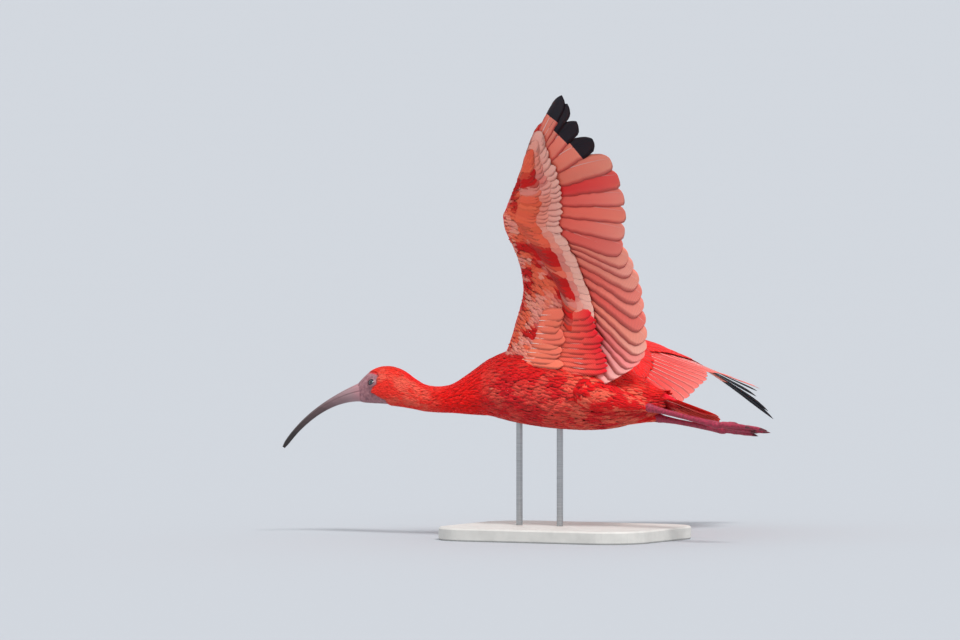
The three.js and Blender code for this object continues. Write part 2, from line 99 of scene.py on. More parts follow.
# Lids: points round the rim, beads and thickness
# Their rows: out from the opening, height over the eye, size of the beads
LID_AROUND = 72
LID_BEADS = 24
LID_THICKNESS = 0.4
LID_PROFILE = (
    (0, 4.0, 0.15), (0.12, 4.6, 0.9), (0.4, 4.2, 1.3), (1.0, 3.8, 1.2), (1.7, 3.0, 1.0), (2.5, 1.4, 1.0),
    (3.2, -1.0, 1.0),
)

# Wing: how it rises along its span, and the pitch of its chord, in degrees
SHOULDER_OUT = 35.0
SHOULDER_UP = 18.0
RISE_ROOT, RISE_ARM, RISE_HAND, RISE_TIP = 80.0, 52.0, 30.0, 0.0
PITCH_ROOT, PITCH_HAND = 7.0, 16.0
SPAN_LOW, SPAN_HIGH = -60, 440
HAND_END = np.array((229.0, -3.0))
PRIMARY_TIPS = [
    (147, 143), (172, 151), (203, 160), (235, 166), (265, 166), (293, 161), (325, 143), (356, 129),
    (396, 131), (415, 131),
]
SECONDARY_TIPS = [(131, 149), (101, 161), (67, 165), (30, 168), (0, 164), (-18, 150), (-30, 128)]
SECONDARY_ROOTS = [(170, -26), (152, -10), (132, 7), (110, 25), (88, 40), (58, 42)]

# Wing flesh: span, leading edge, rear edge, half thickness
ARM = [
    (-45, -78, 45, 13), (-20, -62, 62, 15), (5, -43, 68, 14), (40, -29, 66, 11), (84, -16, 60, 8.5),
    (125, -24, 34, 7), (158, -41, 8, 6.5), (176, -43, -4, 6),
]
HAND = [(174, -43, -4, 6), (200, -27, 2, 5.5), (226, -10, 12, 4.5), (252, 7, 24, 3.2), (280, 26, 36, 2)]
SKIN_LINE = [(0, 0), (0.08, 0.55), (0.3, 1), (0.62, 0.95), (1, 0.6)]

# Tail and legs
TAIL_ROOT = (150.0, 0.0, -4.0)
TAIL_SLOPE = 19.0
TAIL_LENGTH = 116.0
TAIL_SPREAD = 15.0
TAIL_CORE_DROP = 3.5
TAIL_CORE = [(-30, 21, 14), (0, 19, 11), (22, 15.5, 7.5), (44, 12, 4), (58, 8, 2)]
LEG_JOINTS = {
    1: np.array(((62, -31, -22), (167, -18, -40), (262, -14, -60)), float),
    -1: np.array(((62, 24, -13), (167, 14, -35), (262, 5, -56)), float),
}
TOES = [(56, 6, 6), (76, 0.5, 11), (60, -6, 7)]
HALLUX = (34, -2, 11)

# The part of its map that a piece's unwrap fills, and the margin round it
BAKE_FILL = 0.98
BAKE_MARGIN = 0.01

# Side of the voxels that join the skin's forms, in metres
SKIN_VOXEL = 0.0015

# Small feathers of the body and thighs: outline from root to tip, thickness, camber, raggedness
SMALL_FEATHER = dict(shape=(0.4, 0.95, 1, 0.58, 0.08), thick=0.2, camber=0.05, ragged=0.5)

# Coverts: where their outline is given, and the outline; columns across any broad feather
COVERT_AT = (0, 0.3, 0.6, 0.82, 0.93, 1)
COVERT_WIDTH = (0.35, 0.85, 1, 0.9, 0.6, 0.12)
BROAD_COLUMNS = (-1, -0.5, 0, 0.5, 1)

# Share of a feather where its black tip starts, for feathers without one
NEVER_DARK = 9.0

# Tail feathers on each side
TAIL_HALF = 6


# Curves and surfaces


def smooth(x, low, high):
    t = np.clip((np.asarray(x, float) - low) / (high - low), 0, 1)
    return t * t * (3 - 2 * t)


def mix(a, b, t):
    return np.asarray(a, float) * (1 - t) + np.asarray(b, float) * t


class Profile:
    """A smooth curve through rows of (x, value, value, ...)."""

    def __init__(self, rows):
        self.rows = np.array(rows, float)
        x, y = self.rows[:, 0], self.rows[:, 1:]
        before = np.concatenate(([0], np.arange(len(x) - 1)))
        after = np.concatenate((np.arange(1, len(x)), [len(x) - 1]))
        self.slope = (y[after] - y[before]) / (x[after] - x[before])[:, None]

    def __call__(self, at):
        x, y = self.rows[:, 0], self.rows[:, 1:]
        at = np.clip(np.asarray(at, float), x[0], x[-1])
        i = np.clip(np.searchsorted(x, at, side="right") - 1, 0, len(x) - 2)
        span = (x[i + 1] - x[i])[..., None]
        t = ((at - x[i]) / (x[i + 1] - x[i]))[..., None]
        value = (2 * t**3 - 3 * t**2 + 1) * y[i] + (t**3 - 2 * t**2 + t) * span * self.slope[i]
        value = value + (3 * t**2 - 2 * t**3) * y[i + 1] + (t**3 - t**2) * span * self.slope[i + 1]
        return np.moveaxis(value, -1, 0)


class Spline:
    """A smooth open curve through points in the plane, read by a share from 0 to 1."""

    def __init__(self, points):
        self.points = np.array(points, float)

    def __call__(self, share):
        p = self.points
        last = len(p) - 1
        at = min(max(share, 0.0), 1.0) * last
        i = min(int(at), last - 1)
        t = at - i
        a, b = p[max(i - 1, 0)], p[i]
        c, d = p[i + 1], p[min(i + 2, last)]
        u, v = (c - a) / 2, (d - b) / 2
        return (2 * b - 2 * c + u + v) * t**3 + (-3 * b + 3 * c - 2 * u - v) * t**2 + u * t + b


def round_bake(share, angle):
    """A feather's place on the unwrapped body, tail or thigh: along it and round it, inside a thin margin."""
    return np.stack((share, (angle + np.pi) / (2 * np.pi)), -1) * BAKE_FILL + BAKE_MARGIN


def lying_back(count, spread, rng):
    """Headings along a long form, each turned a little to either side."""
    return np.stack((np.ones(count), rng.normal(0, spread, count)), -1)


body_at = Profile(BODY)
coat_depth = Profile(COAT_DEPTH)
bill_at = Profile(BILL)
arm_at = Profile(ARM)
hand_at = Profile(HAND)
skin_line = Profile(SKIN_LINE)
tail_core = Profile(TAIL_CORE)


def round_angles(count):
    """Angles evenly round a ring, from the top."""
    return np.linspace(0, 2 * math.pi, count, endpoint=False)


def levelled(points, share):
    """Turns points about the body's long axis, as the head is turned against the bank."""
    turn = math.radians(HEAD_LEVELLED) * np.asarray(share, float)
    x, y, z = points[..., 0], points[..., 1], points[..., 2]
    return np.stack((x, y * np.cos(turn) - z * np.sin(turn), y * np.sin(turn) + z * np.cos(turn)), -1)


def body_point(x, angle, rise):
    """A point over the body: along it, round it from the back to the right, and up from its outline."""
    middle, width, height = body_at(x)
    y = (width + rise) * np.sin(angle)
    z = middle + (height + rise) * np.cos(angle)
    points = np.stack((np.broadcast_to(x, y.shape), y, z), -1)
    return levelled(points, 1 - smooth(x, -190, -95))


def wing_rise_angle(span):
    inner = (RISE_ROOT - RISE_ARM) * (1 - smooth(span, -30, 30))
    middle = (RISE_HAND - RISE_ARM) * smooth(span, 120, 230)
    return np.radians(RISE_ARM + inner + middle + (RISE_TIP - RISE_HAND) * smooth(span, 200, 420))


def wing_line_points():
    """The wing's line in front view, out and up, at each millimetre of span."""
    spans = np.arange(SPAN_LOW, SPAN_HIGH + 1)
    slope = wing_rise_angle(spans[:-1] + 0.5)
    out = np.concatenate(([0], np.cumsum(np.cos(slope))))
    up = np.concatenate(([0], np.cumsum(np.sin(slope))))
    return spans, out - out[-SPAN_LOW] + SHOULDER_OUT, up - up[-SPAN_LOW] + SHOULDER_UP


LINE_SPAN, LINE_OUT, LINE_UP = wing_line_points()


def wing_point(side, span, chord, rise):
    """A point of a wing, along its span, back along its chord and up from it; side 1 is the left wing."""
    out = np.interp(span, LINE_SPAN, LINE_OUT)
    up = np.interp(span, LINE_SPAN, LINE_UP)
    slope = wing_rise_angle(span)
    pitch = np.radians(PITCH_ROOT + (PITCH_HAND - PITCH_ROOT) * smooth(span, 60, 260))
    arch = rise + 5 * np.exp(-(((chord - 35) / 60) ** 2)) - 2
    back = chord * np.cos(pitch) + arch * np.sin(pitch)
    lift = arch * np.cos(pitch) - chord * np.sin(pitch)
    return np.stack((back, -side * (out - lift * np.sin(slope)), up + lift * np.cos(slope)), -1)


def tail_point(back, across, rise):
    """A point of the tail: back along it, across to the bird's left and up from its surface."""
    lift = rise - 0.012 * across**2
    slope = math.radians(TAIL_SLOPE)
    x = TAIL_ROOT[0] + back * math.cos(slope) + lift * math.sin(slope)
    z = TAIL_ROOT[2] - back * math.sin(slope) + lift * math.cos(slope)
    return np.stack((x, -across, z), -1)


def bill_spine(share):
    steps = 240
    places = np.linspace(-0.1, 1.02, steps)
    heading = np.radians(BILL_HEADING + BILL_TURN * np.clip(places, 0, 2))
    step = np.diff(places) * BILL_LENGTH
    middle = (heading[1:] + heading[:-1]) / 2
    x = np.concatenate(([0], -np.cumsum(np.cos(middle) * step)))
    z = np.concatenate(([0], -np.cumsum(np.sin(middle) * step)))
    x += BILL_START[0] - np.interp(0, places, x)
    z += BILL_START[1] - np.interp(0, places, z)
    return np.interp(share, places, x), np.interp(share, places, z), np.interp(share, places, heading)


def bill_point(share, across, up):
    """A point of the bill: across to the bird's right and up from its middle line."""
    x, z, heading = bill_spine(share)
    return levelled(np.stack((x - np.sin(heading) * up, across, z + np.cos(heading) * up), -1), 1)


def placed(points):
    """Millimetres of the level bird to metres of the banked bird on its stand."""
    turn = math.radians(-BANK)
    x, y, z = points[..., 0], points[..., 1], points[..., 2]
    right = y * math.cos(turn) - z * math.sin(turn)
    up = y * math.sin(turn) + z * math.cos(turn)
    return np.stack((x + AXIS_AHEAD, right, up + AXIS_HEIGHT), -1) * MM


# Colour


def paint(hex_colour):
    """A colour written as a maker's paint code, as linear values."""
    values = np.array([int(hex_colour[i : i + 2], 16) for i in (0, 2, 4)]) / 255
    return np.where(values <= 0.04045, values / 12.92, ((values + 0.055) / 1.055) ** 2.4)


def varied(colour, count, rng, light=0.12, hue=0.05):
    """Copies of a colour, each a little lighter or darker and redder or yellower."""
    colours = np.broadcast_to(np.asarray(colour, float), (count, 3)).copy()
    colours *= np.exp(rng.normal(0, light, (count, 1)))
    colours *= np.exp(rng.normal(0, hue, (count, 3)))
    return np.clip(colours, 0.002, 1)


# Mesh making


def new_object(name, points, faces, material, shade_smooth=True):
    mesh = bpy.data.meshes.new(name)
    mesh.from_pydata(points.tolist(), [], faces)
    mesh.validate()
    if shade_smooth:
        mesh.shade_smooth()
    mesh.materials.append(material)
    made = bpy.data.objects.new(name, mesh)
    bpy.context.collection.objects.link(made)
    return made


def write_values(mesh, name, values):
    """Stores one number a point, for a material to read by its name."""
    layer = mesh.attributes.new(name, "FLOAT", "POINT")
    layer.data.foreach_set("value", values.astype(np.float32))


def belongs(made, slot, *nodes):
    """The piece rides on the model and stands for the nodes, which it hides; slot is not used."""
    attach(made, "root")
    if nodes:
        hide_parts(*nodes)


def ring_faces(rings, around, first=0, closed=True):
    faces = []
    for i in range(rings - 1):
        for j in range(around):
            a, b = first + i * around + j, first + i * around + (j + 1) % around
            faces.append((a, b, b + around, a + around))
    if closed:
        faces.append(tuple(first + j for j in reversed(range(around))))
        faces.append(tuple(first + (rings - 1) * around + j for j in range(around)))
    return faces


def turned_faces(rows):
    """The same faces looking the other way; a row of a triangle ends in -1."""
    return np.where(rows[:, 3:] < 0, rows[:, (2, 1, 0, 3)], rows[:, ::-1])


def enclosed(solids, rows):
    """Six times the volume that the faces enclose, below zero when they look inwards."""
    halves = np.concatenate((rows[:, :3], rows[rows[:, 3] >= 0][:, (0, 2, 3)]))
    a, b, c = (solids[:, halves[:, i]] for i in range(3))
    return (a * np.cross(b, c)).sum()


class Plumage:
    """Many feathers gathered into one mesh, with their colours and their two maps."""

    def __init__(self):
        self.points, self.faces, self.colours, self.dark, self.vane, self.bake = [], [], [], [], [], []
        self.count = 0

    def add(self, surface, root, heading, length, lead, trail, colour, **options):
        """Lays feathers on a surface of two directions and a rise.

        root, heading: one row a feather, in the surface's own two directions
        length, lead, trail: millimetres along, ahead of and behind the shaft
        colour: one row a feather at its root; tip_colour, one row a feather at its tip
        """
        read = options.get

        def each(option, default=0.0):
            """An option that is one number or one a feather, as a column."""
            return np.broadcast_to(np.asarray(read(option, default), float), (n,))[:, None, None]

        n = len(root)
        root, heading = np.asarray(root, float), np.asarray(heading, float)
        heading = heading / np.linalg.norm(heading, axis=1, keepdims=True)
        length, lead, trail = (np.broadcast_to(np.asarray(v, float), (n,)) for v in (length, lead, trail))
        metric = np.broadcast_to(np.asarray(read("metric", (1.0, 1.0)), float), (n, 2))
        stations = np.asarray(read("stations", (0, 0.3, 0.62, 0.88, 1)), float)
        shape_at = read("shape_at", (0, 0.35, 0.7, 0.9, 1))
        shapes = np.broadcast_to(read("shape", (0.4, 0.95, 1, 0.62, 0.12)), (n, len(shape_at)))
        widths = np.array([np.interp(stations, shape_at, row) for row in np.unique(shapes, axis=0)])
        widths = widths[np.unique(shapes, axis=0, return_inverse=True)[1].reshape(-1)]
        columns = np.asarray(read("columns", (-1, 0, 1)), float)
        thick = read("thick", 0.35)
        m, k = len(stations), len(columns)
        ring = np.concatenate((columns, columns[-2:0:-1]))
        face = np.concatenate((np.ones(k), -np.ones(k - 2)))
        t = stations[None, :, None]
        c = ring[None, None, :]
        width = widths[:, :, None]
        ragged = read("ragged", 0.0)
        if ragged:
            rng = np.random.default_rng(read("seed", 1))
            nick = 1 - ragged * rng.random((n, m, 2)) * smooth(stations, 0.1, 0.5)[None, :, None]
            width = width * np.where(c > 0, nick[:, :, :1], nick[:, :, 1:])
        reach = np.where(c > 0, lead[:, None, None], trail[:, None, None]) * width * c
        sideways = reach + 4 * each("bow") * t * (1 - t) * length[:, None, None]
        along = length[:, None, None] * t
        ahead = np.stack((heading[:, 1], -heading[:, 0]), -1)
        offset = heading[:, None, None, :] * along[..., None] + ahead[:, None, None, :] * sideways[..., None]
        place = root[:, None, None, :] + offset * metric[:, None, None, :]
        edge = 1 - np.abs(c) ** 2
        base_rise = read("rise", 0.0)
        base_rise = base_rise(place[..., 0], place[..., 1]) if callable(base_rise) else base_rise
        free = np.minimum(t / 0.3, 1)
        arch = each("lift") * np.sin(np.pi * np.minimum(t * 0.62, 1))
        height = base_rise + arch - read("sink", 0.0) * (1 - free)
        height = height + each("stack") * free + read("tilt", 0.0) * reach
        height = height + read("camber", 0.0) * edge * width * lead[:, None, None]
        height = height + face[None, None, :] * thick * 0.5 * (0.25 + 0.75 * edge) * (1 - 0.6 * t)
        points = surface(place[..., 0], place[..., 1], height)
        self.points.append(placed(points).reshape(-1, 3))
        tip = read("tip_colour", colour)
        along_t = (t ** read("fade", 1.0))[..., None]
        root_shade, tip_shade = np.asarray(colour)[:, None, None, :], np.asarray(tip)[:, None, None, :]
        shades = root_shade * (1 - along_t) + tip_shade * along_t
        if "under_colour" in options:
            low = np.asarray(options["under_colour"])[:, None, None, :]
            low_tip = np.asarray(options["under_tip"])[:, None, None, :]
            shades = np.where(face[None, None, :, None] < 0, low * (1 - along_t) + low_tip * along_t, shades)
        self.colours.append(np.broadcast_to(shades, (n, m, len(ring), 3)).reshape(-1, 3))
        dark = (t - each("dark_from", NEVER_DARK)) * length[:, None, None] + 0 * c
        self.dark.append(np.clip(dark, -20, 20).reshape(-1))
        vane_map = np.stack(np.broadcast_arrays(0.5 + 0.5 * c + 0 * reach, t + 0 * reach), -1)
        self.vane.append(vane_map.reshape(-1, 2))
        patch = read("patch", 0.003)
        bake_root = np.asarray(read("bake", np.zeros((n, 2))), float)
        size = np.asarray(patch, float) * np.ones(2)
        bake = bake_root[:, None, None, :] + (vane_map - 0.5) * size
        self.bake.append(bake.reshape(-1, 2))
        r = len(ring)
        i, j = np.meshgrid(np.arange(m - 1), np.arange(r), indexing="ij")
        a = (i * r + j).ravel()
        b = (i * r + (j + 1) % r).ravel()
        quads = np.stack((a, b, b + r, a + r), -1)
        blocks = [quads]
        if r == 4:
            blocks.append(np.array([[3, 2, 1, 0], [(m - 1) * r + q for q in range(4)]]))
        else:
            for base in (0, (m - 1) * r):
                caps = [[base + q, base + q + 1, base + r - 1 - q, base + r - q] for q in range(1, k - 2)]
                corners = [[base, base + 1, base + r - 1, -1], [base + k - 2, base + k - 1, base + k, -1]]
                rows = np.array(caps + corners)
                blocks.append(turned_faces(rows) if base == 0 else rows)
        rows = np.concatenate(blocks)
        solid = placed(points).reshape(n, m * r, 3)
        if enclosed(solid - solid.mean(1, keepdims=True), rows) < 0:
            rows = turned_faces(rows)
        starts = self.count + np.arange(n)[:, None, None] * (m * r)
        self.faces.append(np.where(rows[None] < 0, -1, starts + rows[None]).reshape(-1, 4))
        self.count += n * m * r

    def add_shafts(self, surface, root, heading, length, half_width, colour, end, **options):
        """Raised shafts along feathers, narrowed at their ends to a share of their width."""
        options.update(shape_at=(0, 1), shape=(1, end), columns=(-1, 0, 1))
        colour = np.broadcast_to(colour, (len(root), 3))
        self.add(surface, root, heading, length, half_width, half_width, colour, **options)

    def object(self, name, material):
        points = np.concatenate(self.points)
        faces = np.concatenate(self.faces)
        three = faces[:, 3] < 0
        loops = np.concatenate((faces[~three].ravel(), faces[three][:, :3].ravel()))
        totals = np.concatenate((np.full((~three).sum(), 4), np.full(three.sum(), 3)))
        starts = np.concatenate(([0], np.cumsum(totals)[:-1]))
        mesh = bpy.data.meshes.new(name)
        mesh.vertices.add(len(points))
        mesh.vertices.foreach_set("co", points.astype(np.float32).ravel())
        mesh.loops.add(len(loops))
        mesh.loops.foreach_set("vertex_index", loops.astype(np.int32))
        mesh.polygons.add(len(totals))
        mesh.polygons.foreach_set("loop_start", starts.astype(np.int32))
        mesh.update(calc_edges=True)
        mesh.shade_smooth()
        colours = np.concatenate(self.colours)
        shades = mesh.color_attributes.new("Plume", "FLOAT_COLOR", "POINT")
        rgba = np.concatenate((colours, np.ones((len(colours), 1))), 1)
        shades.data.foreach_set("color", rgba.astype(np.float32).ravel())
        write_values(mesh, "Dark", np.concatenate(self.dark))
        for label, values in (("OFBake", self.bake), ("Vane", self.vane)):
            layer = mesh.uv_layers.new(name=label)
            layer.data.foreach_set("uv", np.concatenate(values)[loops].astype(np.float32).ravel())
        mesh.materials.append(material)
        made = bpy.data.objects.new(name, mesh)
        bpy.context.collection.objects.link(made)
        return made


# Where the feathers grow


def primary_feathers():
    rows = []
    for i, tip in enumerate(PRIMARY_TIPS):
        share = i / (len(PRIMARY_TIPS) - 1)
        root = mix((176, -30), HAND_END, share)
        wide = 1 - 0.45 * float(smooth(share, 0.55, 1))
        rows.append((root, np.array(tip, float), 12 * wide, 25 * wide, 0.035 * (1 - share) - 0.004))
    return rows


def secondary_feathers(count=12):
    tips, roots = Spline(SECONDARY_TIPS), Spline(SECONDARY_ROOTS)
    shares = [i / (count - 1) for i in range(count)]
    return [(roots(share), tips(share), 11, 25, 0.05) for share in shares]


def flight_feathers():
    """Every flight feather from the innermost to the outermost: root, tip, lead, trail, bow."""
    return list(reversed(secondary_feathers())) + primary_feathers()


FLIGHTS = flight_feathers()
FLIGHT_ROOTS = np.array([f[0] for f in FLIGHTS])
FLIGHT_TIPS = np.array([f[1] for f in FLIGHTS])


def lie(span, chord):
    """The way that feathers lie at a place of the wing: like the flight feathers nearest to it."""
    place = np.stack((span, chord), -1)[:, None, :]
    along = FLIGHT_TIPS - FLIGHT_ROOTS
    length = np.linalg.norm(along, axis=1)
    unit = along / length[:, None]
    reach = np.clip(((place - FLIGHT_ROOTS) * unit).sum(-1), 0, length * 0.6)
    near = FLIGHT_ROOTS + unit * reach[..., None]
    weight = 1 / (np.linalg.norm(place - near, axis=-1) + 3) ** 3
    heading = (weight[..., None] * unit).sum(1)
    return heading / np.linalg.norm(heading, axis=1, keepdims=True)


def flesh_rise(span, chord, below):
    """How far the wing's skin stands off its middle surface, falling to a thin layer over the feathers."""
    arm, hand = arm_at(span), hand_at(span)
    hand_share = smooth(span, 173, 178)
    front, rear, thick = (arm[i] * (1 - hand_share) + hand[i] * hand_share for i in range(3))
    thick = thick * (1 - smooth(span, 262, 288))
    c = (chord - front) / np.maximum(rear - front, 1)
    over = skin_line(np.clip(c, 0, 1))[0] * thick
    past = smooth(c, 1.0, 1.0 + 34 / np.maximum(rear - front, 1))
    resting = 1.9 if below else 1.7
    return over * (1 - past) + np.minimum(resting, thick + resting) * past


# Pieces


def body_skin_rings():
    angles = round_angles(48)
    stations = np.concatenate((np.linspace(FACE, -200, 22), np.linspace(-196, VENT, 60)))
    return np.array([body_point(x, angles, -coat_depth(x)[0]) for x in stations])


def limb_rings(path, radii, around, deep=1.0):
    path = np.asarray(path, float)
    rings = []
    for i, point in enumerate(path):
        ahead = path[min(i + 1, len(path) - 1)] - path[max(i - 1, 0)]
        ahead /= np.linalg.norm(ahead)
        across = np.array((0, 1, 0)) - ahead * ahead[1]
        across /= np.linalg.norm(across)
        up = np.cross(across, ahead)
        angles = round_angles(around)
        ring = point + radii[i] * (np.sin(angles)[:, None] * across + deep * np.cos(angles)[:, None] * up)
        rings.append(ring)
    return np.array(rings)


THIGH_SHARES = np.array([0, 0.18, 0.4, 0.62, 0.82, 0.96])
THIGH_RADII = np.array([5, 18, 19, 13, 8, 5.2])
THIGH_DEEP = 1.15


def thigh_point(side, share, angle, rise):
    """A point over the thigh and shin: along from hip to heel, round it, and up from its outline."""
    radius = np.interp(share, THIGH_SHARES, THIGH_RADII) + rise
    hip, heel = LEG_JOINTS[side][:2]
    path = hip + (heel - hip) * np.asarray(share)[..., None]
    ahead = (heel - hip) / np.linalg.norm(heel - hip)
    across = np.array((0, 1, 0)) - ahead * ahead[1]
    across = across / np.linalg.norm(across)
    up = np.cross(across, ahead)
    aside, above = radius * np.sin(angle), THIGH_DEEP * radius * np.cos(angle)
    return path + aside[..., None] * across + above[..., None] * up


def add_loft(points_list, faces_list, rings):
    first = sum(len(p) for p in points_list)
    points_list.append(rings.reshape(-1, 3))
    faces_list.extend(ring_faces(len(rings), rings.shape[1], first=first))


def wing_skin_rings(side, at, spans, inset):
    c = np.array([0, 0.03, 0.08, 0.18, 0.3, 0.45, 0.62, 0.8, 1])
    upper = skin_line(c)[0]
    ring_c = np.concatenate((c, c[:0:-1]))
    ring_n = np.concatenate((upper, -upper[:0:-1]))
    rings = []
    for span in spans:
        front, rear, thick = at(span)
        front, rear, thick = front + inset, rear - inset, max(thick - inset, 0.8)
        rings.append(wing_point(side, span + 0 * ring_c, front + (rear - front) * ring_c, thick * ring_n))
    return np.array(rings)


def build_skin(material):
    points, faces = [], []
    add_loft(points, faces, body_skin_rings())
    for side in (1, -1):
        path = [mix(*LEG_JOINTS[side][:2], t) for t in THIGH_SHARES]
        add_loft(points, faces, limb_rings(path, THIGH_RADII - 2.2, 28, THIGH_DEEP))
        add_loft(points, faces, wing_skin_rings(side, arm_at, np.linspace(-45, 176, 40), 1.2))
        add_loft(points, faces, wing_skin_rings(side, hand_at, np.linspace(172, 280, 26), 1.0))
    back = np.linspace(-30, 50, 14)
    angles = round_angles(28)
    tail_rings = []
    for b in back:
        width, thick = tail_core(b)
        up = (thick - 2) * np.cos(angles) - TAIL_CORE_DROP
        tail_rings.append(tail_point(b + 0 * angles, (width - 2) * np.sin(angles), up))
    add_loft(points, faces, np.array(tail_rings))
    made = new_object("ibis_skin", placed(np.concatenate(points)), faces, material)
    fix_normals(made)
    remesh = made.modifiers.new("Joined", "REMESH")
    remesh.mode = "VOXEL"
    remesh.voxel_size = SKIN_VOXEL
    remesh.use_smooth_shade = True
    eased = made.modifiers.new("Eased", "SMOOTH")
    eased.factor = 0.5
    eased.iterations = 4
    apply_modifiers(made)
    return made


def apply_modifiers(made):
    evaluated = made.evaluated_get(bpy.context.evaluated_depsgraph_get())
    mesh = bpy.data.meshes.new_from_object(evaluated)
    made.modifiers.clear()
    made.data = mesh
    mesh.shade_smooth()


def fix_normals(made):
    work = bmesh.new()
    work.from_mesh(made.data)
    bmesh.ops.recalc_face_normals(work, faces=work.faces)
    work.to_mesh(made.data)
    work.free()


def table_noise(a, b, size, seed):
    """Smooth patches from 0 to 1 over two directions, about size across."""
    table = np.random.default_rng(seed).random((64, 64))
    u, v = np.asarray(a, float) / size, np.asarray(b, float) / size
    i, j = np.floor(u).astype(int), np.floor(v).astype(int)
    s, t = smooth(u - i, 0, 1), smooth(v - j, 0, 1)
    low = table[i % 64, j % 64] * (1 - s) + table[(i + 1) % 64, j % 64] * s
    high = table[i % 64, (j + 1) % 64] * (1 - s) + table[(i + 1) % 64, (j + 1) % 64] * s
    return low * (1 - t) + high * t


def blend_colours(first, second, share):
    share = np.asarray(share, float)[..., None]
    return np.asarray(first) * (1 - share) + np.asarray(second) * share


def body_colour(x, angle, colours):
    """The coat's colour: vivid above, deeper below, with pale mottling on the flanks and belly."""
    around = np.abs((angle + np.pi) % (2 * np.pi) - np.pi)
    below = smooth(around, 1.1, 2.5)
    base = blend_colours(colours["back"], colours["belly"], below * smooth(x, -120, -40))
    base = blend_colours(base, colours["neck"], 1 - smooth(x, -110, -50))
    base = blend_colours(base, colours["crown"], (1 - smooth(x, -205, -185)) * (1 - smooth(around, 0.5, 1.3)))
    arc = angle * 46
    pale = table_noise(x, arc, 17, 3) * 0.55 + table_noise(x, arc, 7, 4) * 0.45
    flank = smooth(around, 0.9, 1.6) * smooth(x, 20, 70) * (1 - smooth(x, 150, 172))
    breast = smooth(around, 1.2, 2.0) * smooth(x, -90, -50) * (1 - smooth(x, 20, 90))
    base = blend_colours(base, colours["salmon"], smooth(pale, 0.35, 0.72) * flank * 0.6)
    base = blend_colours(base, colours["cheek"], smooth(pale, 0.42, 0.8) * breast * 0.42)
    throat = (1 - smooth(x, -165, -120)) * smooth(around, 0.35, 1.1)
    return blend_colours(base, colours["cheek"], throat * (0.18 + 0.5 * smooth(pale, 0.35, 0.7)))


def coat_rows(low, high, gap, circumference, rng):
    """Roots set in staggered rows round a long form: along it and round it."""
    places, x, row = [], low, 0
    while x < high:
        step = gap(x)
        count = max(int(circumference(x) / (step * 0.82)), 8)
        angles = (np.arange(count) + 0.5 * (row % 2)) * 2 * np.pi / count - np.pi
        angles = angles + rng.normal(0, 0.16 * 2 * np.pi / count, count)
        along = x + rng.normal(0, 0.22 * step, count)
        places.append(np.stack((along, angles), -1))
        x += step * 0.62
        row += 1
    return np.concatenate(places)


def body_round(x):
    width, height = body_at(x)[1:]
    return np.pi * (width + height)


COAT_GAP = Profile(
    [(-251, 1.7), (-225, 1.8), (-195, 2.2), (-150, 2.9), (-90, 3.8), (-30, 4.6), (60, 5.4), (172, 5.4)]
)


def over_flesh(below, sunk):
    """How far coverts start off the wing's middle surface: on its skin, but sunk a little."""
    return lambda span, chord: flesh_rise(span, chord, below) - sunk


def build_body_coat(name, low, high, material, colours, seed, keep=None):
    rng = np.random.default_rng(seed)
    roots = coat_rows(low, high, lambda x: float(COAT_GAP(x)[0]), lambda x: float(body_round(x)), rng)
    if keep is not None:
        roots = roots[keep(roots[:, 0], roots[:, 1])]
    x, angle = roots[:, 0], roots[:, 1]
    gap = COAT_GAP(x)[0] * np.exp(rng.normal(0, 0.1, len(x)))
    local = (body_at(x)[1] + body_at(x)[2]) / 2
    depth = coat_depth(x)[0]
    heading = lying_back(len(x), 0.16, rng)
    base = varied(body_colour(x, angle, colours), len(x), rng, 0.07, 0.03)
    coat = Plumage()
    coat.add(
        body_point, roots, heading, gap * 3.6, gap * 0.56, gap * 0.56, base * 0.95,
        tip_colour=np.clip(base * 1.04, 0, 1), metric=np.stack((np.ones(len(x)), 1 / local), -1),
        stations=(0, 0.35, 0.7, 0.9, 1), rise=-depth.reshape(-1, 1, 1) * 0.36,
        sink=depth.reshape(-1, 1, 1) * 0.6, lift=depth * 0.34 * np.exp(rng.normal(0, 0.1, len(x))),
        seed=seed, bake=round_bake((x - FACE) / (VENT - FACE), angle), **SMALL_FEATHER
    )
    return coat.object(name, material)


def wing_surface(side, below):
    sign = -1 if below else 1
    return lambda span, chord, rise: wing_point(side, span, chord, sign * rise)


def bake_place(span, chord, column):
    """A feather's place on the unwrapped wing: under and upper surfaces lie side by side."""
    return np.stack(((span + 80) / 540 * 0.98 + 0.01, (chord + 90) / 280 * 0.48 + 0.5 * column), -1)


FLIGHT_AT = (0, 0.1, 0.25, 0.5, 0.84, 0.91, 0.95, 0.978, 0.992, 1)
FLIGHT_WIDTH = (0.14, 0.3, 0.66, 0.92, 1, 0.96, 0.86, 0.66, 0.42, 0.1)
POINTED_WIDTH = (0.14, 0.3, 0.66, 0.96, 0.9, 0.7, 0.48, 0.26, 0.12, 0.03)
BLACK_TIPS = (0.63, 0.57, 0.67, 0.74)
RED_FEATHERS = (5, 6.4, 8.6, 13.4, 14.6, 18.5)


